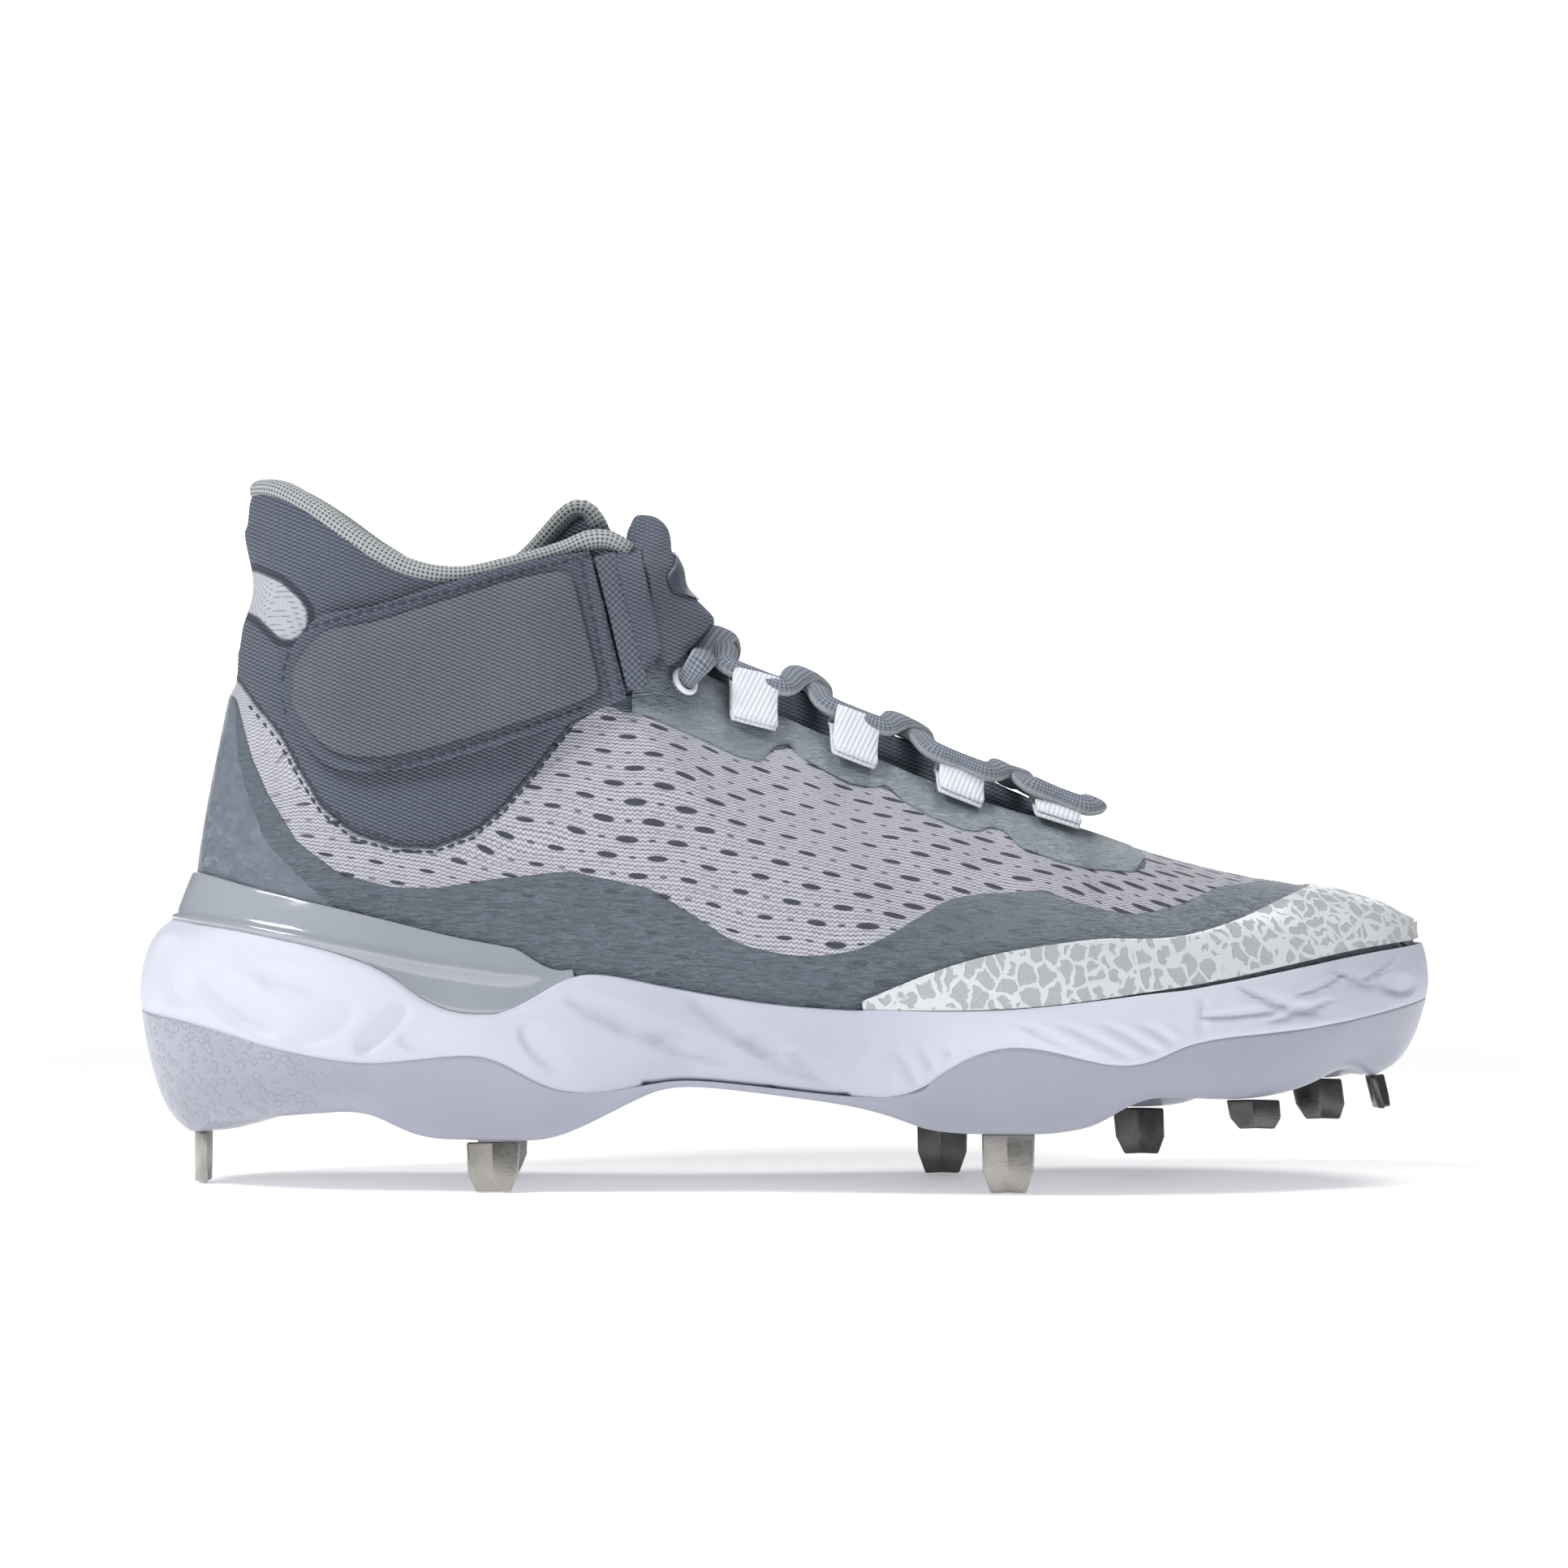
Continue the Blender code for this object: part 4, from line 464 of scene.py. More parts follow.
def paintSkin():
    skin = Finish("upperSkin", colours["knit"], 0.85)
    film, collar = skin.attribute("film"), skin.attribute("collar")
    counter, window = skin.attribute("counter"), skin.attribute("window")

    # rows of long holes with dashes between them, and pinholes between the rows
    waver = skin.noise(0.035, 1.0) - 0.5
    rise = skin.z + skin.x * 0.24 - skin.math("ABSOLUTE", skin.y) * 0.8 + waver * 7.0
    row = rise / knitSizes["row"]
    rowNumber = skin.math("FLOOR", row)
    shift = skin.math("PINGPONG", rowNumber, 1.0) * 0.5 + skin.math("SINE", rowNumber * 5.1) * 0.12
    cell = skin.x / knitSizes["hole"] + shift
    size = skin.step(skin.noise(0.022, 1.0) + skin.step(skin.x, -30.0, 60.0) * 0.25, 0.30, 0.80)
    v = skin.centred(row)
    long = skin.oval(skin.centred(cell), v, size * 0.13 + 0.12, size * 0.13 + 0.08)
    dash = skin.oval(skin.centred(cell + 0.5), v, 0.075, 0.075)
    pin = skin.oval(skin.centred(skin.x / knitSizes["pin"] + shift), skin.centred(row + 0.5), 0.14, 0.05)
    hole = 1 - skin.step(long, 0.82, 1.12)
    hole = skin.math("MAXIMUM", hole, (1 - skin.step(dash, 0.7, 1.1)) * (size * 0.45 + 0.55))
    hole = skin.math("MAXIMUM", hole, (1 - skin.step(pin, 0.6, 1.1)) * 0.55)
    hole = hole * skin.step(skin.x, -124.0, -104.0)

    # the knit's own courses
    vee = skin.math("PINGPONG", skin.x / knitSizes["stitch"], 0.5) * 0.9
    yarn = 1 - skin.math("ABSOLUTE", skin.centred(rise / knitSizes["course"] + vee)) * 2
    cloth = skin.step(yarn, 0.0, 0.7)
    knit = skin.blend(cloth * 0.8 + skin.noise(0.3, 2.0) * 0.2, colours["knitShade"], colours["knit"])
    knit = skin.blend(hole * 0.95, knit, colours["hole"])
    knitHeight = cloth * 0.4 - hole * 1.6

    # fused film, crinkled along the foot and dimpled on the heel counter
    crinkle = skin.noise(0.75, 3.0, skin.stretched(0.30, 0.7, 1.5, 0.22), 1.6)
    grain = crinkle * 0.6 + skin.noise(2.2, 3.0) * 0.4
    sunk = hole * skin.step(skin.noise(0.05, 1.0), 0.30, 0.60)
    fused = skin.blend(grain, colours["film"], colours["filmLight"])
    fused = skin.blend(sunk * 0.5, fused, colours["hole"])
    fusedHeight = skin.step(crinkle, 0.30, 0.62) * 0.7 + grain * 0.5 - sunk * 0.5 + 0.3
    dimple = skin.noise(0.28, 2.0, skin.stretched(1.0, 1.0, 1.2))
    counterMask = skin.step(counter, -0.2, 0.2)
    fused = skin.blend(counterMask, fused, skin.blend(dimple, colours["counter"], colours["counterLight"]))
    fusedHeight = skin.choose(counterMask, fusedHeight, dimple * 1.8 + grain * 0.2)
    # painted highlight: the eyestay film lighter where light falls on it from above, and the film paler
    # towards the toe
    paler = skin.math("MAXIMUM", skin.attribute("sheen"), skin.step(skin.x, 10.0, 75.0) * 0.30)
    fused = skin.blend(paler * 0.85, fused, colours["sheen"])

    # the collar's padding, and the mesh window in it
    weave, heather = skin.weave(), skin.noise(2.4, 3.0)
    soft = skin.blend(weave * 0.75 + heather * 0.25, colours["neoprene"], colours["neopreneLight"])
    pores = skin.math("SINE", skin.z * 5.0) * skin.math("SINE", (skin.x + skin.y) * 3.6)
    mesh = skin.blend(skin.step(pores, 0.3, 0.9), colours["window"], colours["windowShade"])

    filmMask = skin.step(film + waver * 0.6, -0.12, 0.12)
    collarMask = skin.step(collar, -0.12, 0.12)
    hem, seam = skin.line(window + 1.2, 0.5, 0.9), skin.line(collar, 0.15, 0.65)
    colour = skin.blend(collarMask, skin.blend(filmMask, knit, fused), soft)
    colour = skin.blend(hem * 0.7, colour, colours["thread"])
    colour = skin.blend(skin.step(window, -0.3, 0.3), colour, mesh)
    colour = skin.blend(seam * 0.75, colour, colours["thread"])
    colour = skin.blend(skin.line(film, 0.05, 0.30) * 0.35, colour, colours["hole"])
    height = skin.choose(filmMask, knitHeight, fusedHeight)
    height = skin.choose(collarMask, height, weave * 0.6 + heather * 0.3) - seam * 1.2 - hem * 0.8
    rough = skin.choose(filmMask, skin.noise(0.5, 1.0) * 0.1 + 0.8, 0.56 - grain * 0.18)
    rough = skin.choose(counterMask * filmMask, rough, 0.30)
    rough = skin.choose(collarMask, rough, 0.88)
    return skin.done(colour, rough, height, 0.40)


def sideOfWall(points, normals):
    # positive on the outside of the upper's wall, negative on its lining
    middle = np.stack([points[:, 0] * 0.97, np.full(len(points), 0.002), np.full(len(points), 0.045)], 1)
    return ((points - middle) * normals).sum(1)


def dressSkin(piece):
    # how deep each point lies inside each zone of the side view, in mm
    points = pointsOf(piece)
    film = zoneDepth(points, upperLines["filmTop"] + [(1800, 1500), (100, 1500)])
    stay = zoneDepth(points, upperLines["eyestayLow"] + [(1290, 940), (900, 740), (735, 740)])
    counter = zoneDepth(points, upperLines["counterEdge"] + [(459, 1500), (100, 1500), (100, 840)])
    collar = zoneDepth(points, upperLines["collarSeam"] + [(900, 500), (150, 500), (150, 815)])
    setAttribute(piece, "film", np.maximum(film, stay))
    setAttribute(piece, "counter", counter)
    setAttribute(piece, "collar", collar)
    setAttribute(piece, "window", zoneDepth(points, upperLines["meshWindow"]))
    return film, counter, collar


# Creases of the upper: where each one starts and ends on the side view, its half width and its depth
# in mm. A positive depth is a trough, a negative one a ridge.
upperCreases = [
    ((560, 1068), (700, 1040), 3.2, 0.70),
    ((840, 1010), (905, 1120), 5.0, 0.70),
    ((1215, 1065), (1275, 1150), 4.5, 0.84),
    ((1240, 1050), (1310, 1130), 4.0, -0.56),
    ((1050, 985), (1110, 1090), 6.0, 0.56),
    ((660, 900), (560, 1010), 6.0, 0.98),
    ((420, 960), (560, 1000), 7.0, -0.84),
    ((300, 640), (390, 690), 4.0, 0.70),
    ((290, 790), (330, 830), 3.0, 0.84),
]
# thickness of film and counter, and the seam that the collar's padding is sewn down in: half width, depth
overlaySizes = {"film": 0.35, "counter": 0.30, "seamWide": 1.3, "seamDeep": 0.9}

# The inner side of the collar rises to a rounded lobe in front: mm along the shoe, and its rise
farLobe = [(-72, 0), (-62, 3.5), (-57.4, 7.5), (-51.4, 11.0), (-46.1, 12.5), (-43, 11.5), (-40, 8.5),
           (-36.5, 4.0), (-33, 0)]


def raiseLobe(points):
    rise = np.interp(points[:, 0] / mm, *np.array(farLobe).T)
    weight = smooth(points[:, 1], 0.004, 0.014) * smooth(points[:, 2], 0.122, 0.146)
    raised = points.copy()
    raised[:, 2] += rise * weight * mm
    return raised


def makeUpper(material):
    piece = freshCopy("upper", "upperShell")
    soften(piece, 2)
    setPoints(piece, raiseLobe(pointsOf(piece)))
    film, counter, collar = dressSkin(piece)
    points, normals = pointsOf(piece), normalsOf(piece)
    lift = overlaySizes["film"] * smooth(film, -1.0, 0.6)
    lift = (lift + overlaySizes["counter"] * smooth(counter, -1.0, 0.6)) * (collar < 0)
    across, down = seenAt(points)
    for start, end, width, depth in upperCreases:
        lift -= depth * bell(lineDistance(across, down, [start, end]), width)
    seam = lineDistance(across, down, upperLines["collarSeam"])
    lift -= overlaySizes["seamDeep"] * bell(seam, overlaySizes["seamWide"])
    outside = smooth(sideOfWall(points, normals), 0.0, 0.004)
    setPoints(piece, points + normals * (outside * lift * mm)[:, None])
    print("upper has", len(piece.data.polygons), "faces")
    return give(piece, material, "knit", "upper")


skinPaint = paintSkin()
upperShell = makeUpper(skinPaint)


def crestRow(tree, px, side, first=600, last=1100):
    # the highest pixel row at which the camera still sees this side of a surface
    low, high = last, first
    while low - high > 0.5:
        middle = (low + high) / 2
        place, normal = placeOnSide(tree, px, middle, side)
        if place is not None and place.y * side > 0.001 and normal.y * side > -0.05:
            low = middle
        else:
            high = middle
    return low


def layGrid(name, tree, columns, rows, sides, lift, thick, taper=0.0):
    # lays a strip on a surface and thickens it; a column is the upper and lower pixel of a cross line
    points, faces = [], []
    for side in sides:
        grid = []
        for top, bottom in columns(side):
            line = []
            for k in range(rows):
                share = k / (rows - 1)
                px = top[0] + (bottom[0] - top[0]) * share
                py = top[1] + (bottom[1] - top[1]) * share
                place, normal = placeOnSide(tree, px, py, side)
                if place is None and line:
                    place, normal = line[-1][:2]
                line.append((place, normal, share))
            known = [spot for spot in line if spot[0] is not None]
            if known:
                grid.append([spot if spot[0] is not None else known[0] for spot in line])
        start = len(points)
        for layer in (1, 0):
            for line in grid:
                for place, normal, share in line:
                    edge = 1 - taper * max(0.0, (share - 0.93) / 0.07)
                    points.append(place + normal * (lift + thick * layer * edge) * mm)
        wide, count = len(grid), len(grid) * rows
        for c in range(wide - 1):
            for k in range(rows - 1):
                at = start + c * rows + k
                face = [at, at + 1, at + rows + 1, at + rows]
                faces += [face, [count + corner for corner in reversed(face)]]
        rim = [(c, 0) for c in range(wide)] + [(wide - 1, k) for k in range(1, rows)]
        rim += [(c, rows - 1) for c in range(wide - 2, -1, -1)] + [(0, k) for k in range(rows - 2, 0, -1)]
        ring = [start + c * rows + k for c, k in rim]
        faces += [[p, q, q + count, p + count] for p, q in zip(ring, ring[1:] + ring[:1])]
    data = bpy.data.meshes.new(name)
    data.from_pydata([list(point) for point in points], [], faces)
    piece = newPiece(name, data)
    makeActive(piece)
    bpy.ops.object.mode_set(mode="EDIT")
    bpy.ops.mesh.select_all(action="SELECT")
    bpy.ops.mesh.normals_make_consistent(inside=False)
    bpy.ops.object.mode_set(mode="OBJECT")
    bpy.ops.object.shade_smooth_by_angle(angle=math.radians(50))
    return piece


eyestaySizes = {
    "columns": (778.0, 1408.5, 4.5),  # first, last and step, in pixels
    "rows": 14,
    "lift": 0.05,
    "thick": 0.65,
    "taper": 0.6,
    "ringFront": 830,  # behind this column the film starts no higher than the row after it
    "ringTop": 800,
    "tip": [(1300, 1000), (1359, 1033), (1390, 1044), (1409, 1056)],
}


def makeEyestay(material):
    sizes, tree = eyestaySizes, treeOf(upperShell)
    low, tip = np.array(upperLines["eyestayLow"][1:-4], float), np.array(sizes["tip"], float)

    def columns(side):
        lines = []
        for px in np.arange(*sizes["columns"]):
            top = crestRow(tree, px, side) + 1.0
            if px < sizes["ringFront"]:
                top = max(top, sizes["ringTop"])
            if px > sizes["tip"][1][0]:
                top = max(top, np.interp(px, *tip.T))
            bottom = np.interp(px, *low.T) - max(0.0, px - 1400) * 1.2
            if bottom > top + 1:
                lines.append(((px, top), (px, bottom)))
        return lines

    piece = layGrid("eyestayFilm", tree, columns, sizes["rows"], (-1, 1), sizes["lift"], sizes["thick"],
                    sizes["taper"])
    count = len(piece.data.vertices)
    # the last value paints the eyestay film lighter, a painted highlight
    depths = {"film": 5.0, "collar": -5.0, "counter": -5.0, "window": -5.0, "sheen": 0.7}
    for name, value in depths.items():
        setAttribute(piece, name, np.full(count, value))
    return give(piece, material, "film", "eyestay")


eyestayFilm = makeEyestay(skinPaint)
print("upper done")


# ---- toe guard
def makeToeGuard():
    finish = Finish("guardFilm", colours["guard"], 0.45, Coat_Weight=0.15, Coat_Roughness=0.3)
    swirl = finish.node("ShaderNodeTexNoise", {}, {"Vector": finish.place, "Scale": 0.42, "Detail": 1.0},
                        "Color")
    bend = finish.vector("SCALE", swirl, Scale=2.6)
    where = finish.vector("MULTIPLY", finish.vector("ADD", finish.place, bend), (1.15, 0.8, 0.85))
    cells = finish.node("ShaderNodeTexVoronoi", {"feature": "DISTANCE_TO_EDGE"},
                        {"Vector": where, "Scale": 0.24, "Randomness": 1.0}, "Distance")
    thin = finish.noise(0.12, 2.0) * 0.14
    cell = finish.step(cells - thin, 0.035, 0.075)
    sand = finish.noise(3.0, 3.0)
    colour = finish.blend(cell * (0.70 + sand * 0.30), colours["guard"], colours["guardCell"])
    rough = finish.choose(cell, 0.34, 0.85)
    height = cell * (sand * 1.0 - 1.0) + finish.noise(0.3, 2.0) * 0.2
    material = finish.done(colour, rough, height, 0.35)
    piece = freshCopy("toe_guard", "toeGuard")
    creaseSharp(piece, 50, 0.9)
    soften(piece, 3)
    return give(piece, material, "guard", "toe_guard")


toeGuard = makeToeGuard()


# ---- midsole and outsole
soleShapes = {
    # carved facets: centre in the photo's pixels, half length and half height in mm, depth in mm, turn
    "facets": [
        ((216, 1196), 8, 3.8, 1.2, 1.35), ((300, 1236), 12, 4.6, 1.5, 0.60),
        ((358, 1208), 8, 3.0, 1.1, 0.25), ((395, 1262), 9, 4.2, 1.2, -0.45),
        ((470, 1268), 8, 3.0, 1.2, -0.75), ((545, 1292), 11, 2.8, 0.9, 0.25),
        ((668, 1290), 7, 3.2, 0.8, 0.85), ((740, 1245), 9, 2.6, 0.7, 0.45),
        ((790, 1262), 12, 3.0, 0.9, 0.35), ((850, 1290), 10, 2.6, 0.9, 0.30),
        ((905, 1262), 13, 3.0, 0.9, 0.60), ((960, 1300), 9, 2.6, 0.9, 0.55),
        ((1010, 1322), 8, 2.4, 0.8, 0.60), ((820, 1322), 9, 2.8, 0.8, -0.3),
        ((1530, 1248), 9, 1.3, 0.9, -0.1), ((1575, 1232), 10, 1.5, 1.0, 0.35),
        ((1600, 1246), 8, 1.1, 0.8, -0.35), ((1632, 1210), 7, 1.5, 0.9, -0.45),
        ((1668, 1200), 6, 1.8, 1.0, 0.5), ((1700, 1190), 5, 1.6, 0.9, -0.6),
        ((1722, 1212), 4, 2.6, 0.9, 0.2),
    ],
    # ripples cut into the foam: first and last column, middle row, then half height, pitch and depth
    # in mm, and how far they lean
    "ripples": [
        ((1085, 1235), 1325, 8.0, 6.2, 0.9, -0.55), ((1235, 1470), 1285, 5.5, 8.5, 0.9, -1.7),
        ((1000, 1120), 1300, 6.0, 8.0, 0.5, 0.6),
    ],
    "rippleFade": 40,  # in pixels at both ends
    # the seam in the foam, running down from the toe guard, its depth and half width in mm
    "seam": [(1482, 1232), (1480, 1262), (1472, 1292), (1452, 1318), (1425, 1333)],
    "seamDepth": 0.7, "seamWide": 0.55,
    "swell": 0.3,  # height of the foam's soft unevenness, in mm
    # the foam keeps its own shape within the first distance of these pieces, in mm
    "clearOfPlate": (0.6, 3.2), "clearOfUpper": (0.8, 3.0),
}


def nearness(points, tree, near, far):
    # 0 within the near distance of another piece, 1 past the far one, in mm
    away = [tree.find_nearest(Vector(point), far * mm)[3] for point in points]
    return smooth(np.array([far if gap is None else gap / mm for gap in away]), near, far)


def shapeFoam(piece):
    points, normals = pointsOf(piece), normalsOf(piece)
    across, down = seenAt(points)
    size, fade = photo["mmPerPixel"], soleShapes["rippleFade"]
    sideways = smooth(np.hypot(normals[:, 0], normals[:, 1]), 0.35, 0.80)
    outer = smooth(np.abs(points[:, 1]) / 0.050 + (points[:, 0] / 0.148) ** 8 * 0.6, 0.50, 0.66)
    lift = np.zeros(len(points))
    for (px, py), wide, tall, depth, turn in soleShapes["facets"]:
        u = (across - px) * size
        v = (down - py) * size
        along = u * math.cos(turn) + v * math.sin(turn)
        cross = v * math.cos(turn) - u * math.sin(turn)
        inside = (np.abs(along) / wide) ** 2.4 + (np.abs(cross) / tall) ** 2.4
        # deepest along its lower edge, as a cut with a tilted blade is
        lift -= depth * smooth(1.2 - inside, 0.0, 0.55) * (0.81 + 0.6075 * cross / tall)
    for (start, end), py, tall, pitch, depth, lean in soleShapes["ripples"]:
        inside = smooth(across, start, start + fade) * smooth(-across, -end, -end + fade)
        inside = inside * smooth(tall - np.abs(down - py) * size, 0.0, tall * 0.5)
        phase = ((across + (down - py) * lean) * size + 1.2 * np.sin(across / 47.0)) / pitch
        lift -= depth * inside * (0.5 + 0.5 * np.cos(phase * math.tau)) ** 2.2
    seam = lineDistance(across, down, soleShapes["seam"])
    lift -= soleShapes["seamDepth"] * bell(seam, soleShapes["seamWide"])
    wave = np.sin(points[:, 0] * 95 + points[:, 2] * 140) * np.sin(points[:, 0] * 31 - points[:, 2] * 90)
    lift += soleShapes["swell"] * wave
    clear = nearness(points, treeOf(outsolePlate), *soleShapes["clearOfPlate"])
    clear *= nearness(points, treeOf(upperShell, heelClip), *soleShapes["clearOfUpper"])
    setPoints(piece, points + normals * (lift * sideways * outer * clear * mm)[:, None])


def makeMidsole():
    finish = Finish("foam", colours["foam"], 0.55)
    finish.shader.inputs["Subsurface Weight"].default_value = 0.12
    finish.shader.inputs["Subsurface Radius"].default_value = (0.003, 0.003, 0.004)
    mottled = finish.noise(0.05, 3.0)
    # painted shade: the foam darker around the middle of the shoe and at the toe, on top of random mottling
    forward = finish.step(finish.x, -90.0, -20.0) * 0.65 - finish.step(finish.x, 5.0, 60.0) * 0.65
    forward = forward + finish.step(finish.x, 85.0, 140.0) * 0.50
    colour = finish.blend(mottled * 0.3 + forward, colours["foam"], colours["foamShade"])
    height = finish.noise(0.9, 3.0) * 0.6 + finish.noise(0.16, 2.0, finish.stretched(1, 1, 0.4)) * 0.5
    material = finish.done(colour, finish.noise(0.2, 2.0) * 0.2 + 0.42, height, 0.12, 0.6)
    piece = freshCopy("midsole", "midsoleFoam")
    creaseSharp(piece, 60, 0.7)
    soften(piece, 3)
    shapeFoam(piece)
    closeGap(piece, treeOf(outsolePlate), 0.9, 0.02)
    closeGap(piece, treeOf(upperShell, toeGuard, heelClip), 1.0)
    print("midsole has", len(piece.data.polygons), "faces")
    return give(piece, material, "foam", "midsole")


def makeOutsole():
    finish = Finish("plateTpu", colours["plate"], 0.35, Coat_Weight=0.25, Coat_Roughness=0.2)
    # random mottling, and painted shade: the plate darker towards the toe
    shade = finish.noise(0.06, 2.0) * 0.4 + finish.step(finish.x, -20.0, 40.0) * 0.45
    colour = finish.blend(shade, colours["plate"], colours["plateShade"])
    bumps = finish.node("ShaderNodeTexVoronoi", {}, {"Vector": finish.place, "Scale": 0.42}, "Distance")
    heel = finish.step(-85.0 - finish.x, 0.0, 30.0)
    height = finish.step(0.55 - bumps, 0.0, 0.3) * heel + finish.noise(0.4, 2.0) * 0.15
    material = finish.done(colour, finish.noise(0.3, 2.0) * 0.15 + 0.25, height, 0.4, 0.8)
    piece = freshCopy("outsole", "outsolePlate")
    creaseSharp(piece, 60, 0.6)
    soften(piece, 3)
    return give(piece, material, "plate", "outsole")


outsolePlate = makeOutsole()
print("outsole done")


# ---- heel clip
clipShape = {
    "ledge": [(170, 1122), (300, 1142), (400, 1162), (520, 1186), (620, 1200), (715, 1203)],  # in pixels
    "ledgeHeight": 0.9, "ledgeWide": 1.1, "ledgeEnd": 700, "ledgeFade": 120,
    "hollow": 3.6, "hollowDepth": 0.5, "hollowWide": 2.2,
    # the tip, in mm along the shoe: where it starts, where it ends, how far it is drawn out
    "tipFrom": -76.0, "tipEnd": -54.5, "tipReach": 5.6,
    # and where and how far it narrows to its lower edge, which lies this much under its middle
    "flatFrom": -62.0, "flatEnd": -48.0, "flat": 0.62, "tipHalf": 1.2,
    "tipLow": [(-62.5, 40.1), (-55.0, 44.7), (-46.2, 49.2)],
}


def stretchTip(points, tree):
    # the clip's front ends run forward along the upper to a point
    sides = np.sign(points[:, 1])
    share = smooth(points[:, 0], clipShape["tipFrom"] * mm, clipShape["tipEnd"] * mm)
    moved = points.copy()
    moved[:, 0] += clipShape["tipReach"] * mm * share
    low = np.interp(moved[:, 0] / mm, *np.array(clipShape["tipLow"]).T) * mm
    flat = smooth(moved[:, 0] / mm, clipShape["flatFrom"], clipShape["flatEnd"]) * clipShape["flat"]
    moved[:, 2] = moved[:, 2] * (1 - flat) + (low + clipShape["tipHalf"] * mm) * flat
    for k in np.nonzero(share > 0.01)[0]:
        way = Vector((0, -sides[k], 0))
        before = tree.ray_cast(Vector(points[k]) - way * 0.02, way)[0]
        after = tree.ray_cast(Vector(moved[k]) - way * 0.02, way)[0]
        if before is not None and after is not None:
            moved[k, 1] += after.y - before.y
    return moved


def makeHeelClip():
    finish = Finish("clipPlastic", colours["clip"], 0.16, Coat_Weight=0.7, Coat_Roughness=0.06, IOR=1.5)
    ledge = finish.attribute("ledge")
    # painted light: the top of the ledge lighter towards the heel, where light falls on it from above
    top = finish.step(ledge, -0.6, 0.6) * finish.step(-60.0 - finish.x, 0.0, 50.0)
    depth = finish.noise(0.045, 2.0)
    colour = finish.blend(depth, colours["clip"], colours["clipTop"])
    colour = finish.blend(top * 0.8, colour, colours["clipTop"])
    material = finish.done(colour, finish.noise(0.15, 2.0) * 0.10 + 0.12, finish.noise(0.18, 2.0), 0.12, 0.5)
    piece = freshCopy("heel_clip", "heelClip")
    creaseSharp(piece, 50, 0.85)
    soften(piece, 3)
    points = stretchTip(pointsOf(piece), treeOf(upperShell))
    setPoints(piece, points)
    normals = normalsOf(piece)
    across, down = seenAt(points)
    away = (np.interp(across, *np.array(clipShape["ledge"], float).T) - down) * photo["mmPerPixel"]
    setAttribute(piece, "ledge", away)
    sideways = smooth(np.abs(normals[:, 1]) + np.maximum(-normals[:, 0], 0), 0.4, 0.9)
    lift = clipShape["ledgeHeight"] * bell(away, clipShape["ledgeWide"])
    lift -= clipShape["hollowDepth"] * bell(away + clipShape["hollow"], clipShape["hollowWide"])
    lift *= smooth(clipShape["ledgeEnd"] - across, 0, clipShape["ledgeFade"])
    setPoints(piece, points + normals * (lift * sideways * mm)[:, None])
    return give(piece, material, "clip", "heel_clip")


heelClip = makeHeelClip()
midsoleFoam = makeMidsole()
print("sole done")


# ---- steel spikes: bright ones at the heel and the ball, and dark ones at the toe, a darker copy of the same steel as painted shade for spikes in shadow
def paintSteel(name, dark, light, roughness):
    finish = Finish(name, light, roughness, Metallic=1.0)
    brushed = finish.noise(0.8, 3.0, finish.stretched(1, 1, 6))
    worn = finish.noise(0.25, 2.0)
    colour = finish.blend(brushed * 0.6 + worn * 0.4, dark, light)
    return finish.done(colour, brushed * 0.14 + worn * 0.12 + roughness - 0.12, brushed, 0.03, 0.5)


def makeSpikes():
    bright = paintSteel("brightSteel", colours["steelShade"], colours["steel"], 0.27)
    dark = paintSteel("darkSteel", colours["darkSteelShade"], colours["darkSteel"], 0.22)
    for node in sorted(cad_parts):
        if node.startswith("spike_"):
            piece = freshCopy(node, "blade" + node[5:].title().replace("_", ""))
            applyModifier(piece, "BEVEL", width=0.45 * mm, segments=3, limit_method="ANGLE")
            # spikes in shadow get the darker copy of the steel: painted shade
            inLight = "heel" in node or node == "spike_ball_lateral"
            give(piece, bright if inLight else dark, "steel", node)


makeSpikes()


# ---- soft goods
def paintNeoprene(name, light, dark, scale=1.0):
    finish = Finish(name, light, 0.9)
    weave, heather = finish.weave(scale), finish.noise(2.4, 3.0)
    colour = finish.blend(weave * 0.70 + heather * 0.15 + finish.noise(0.05, 2.0) * 0.15, dark, light)
    return finish.done(colour, heather * 0.1 + 0.82, weave * 0.8 + heather * 0.2, 0.30)


neoprene = paintNeoprene("collarNeoprene", colours["neopreneLight"], colours["neoprene"])
strapCloth = paintNeoprene("strapCloth", colours["strapLight"], colours["strap"])
lining = paintNeoprene("liningCloth", colours["neopreneLight"], colours["neoprene"], 1.4)


def makeSoft(node, name, material, slot, levels, crease=0.0):
    piece = freshCopy(node, name)
    if crease:
        creaseSharp(piece, 55, crease)
    soften(piece, levels)
    give(piece, material, slot, node)
    return piece


tongueSizes = {"crest": 3.2, "from": (-0.030, -0.012), "to": (0.064, 0.076), "wide": (0.003, 0.014)}


def makeTongue():
    # the padding wells up between the eyestays under the laces
    piece = makeSoft("tongue", "tonguePad", neoprene, "padded", 3)
    points = pointsOf(piece)
    x, y = points[:, 0], points[:, 1]
    weight = 1 - smooth(np.abs(y), *tongueSizes["wide"])
    weight *= smooth(x, *tongueSizes["from"]) * (1 - smooth(x, *tongueSizes["to"]))
    ribs = 0.5 * np.sin(x / 0.0036) + 0.3 * np.sin(x / 0.0021 + y * 300)
    points += np.array([0.34, 0, 0.94]) * ((tongueSizes["crest"] + ribs) * weight * mm)[:, None]
    setPoints(piece, points)
    return piece


tonguePad = makeTongue()
ankleAxis = (-0.078, 0.0)


def awayFromAnkle(points):
    out = points[:, :2] - np.array(ankleAxis)
    return np.column_stack([out / np.linalg.norm(out, axis=1)[:, None], np.zeros(len(points))])


waistSizes = {"height": 0.1405, "wide": 0.0060, "fill": 1.0, "sideFill": 3.6, "dimpleWide": 0.0035,
              "dimple": 1.2}


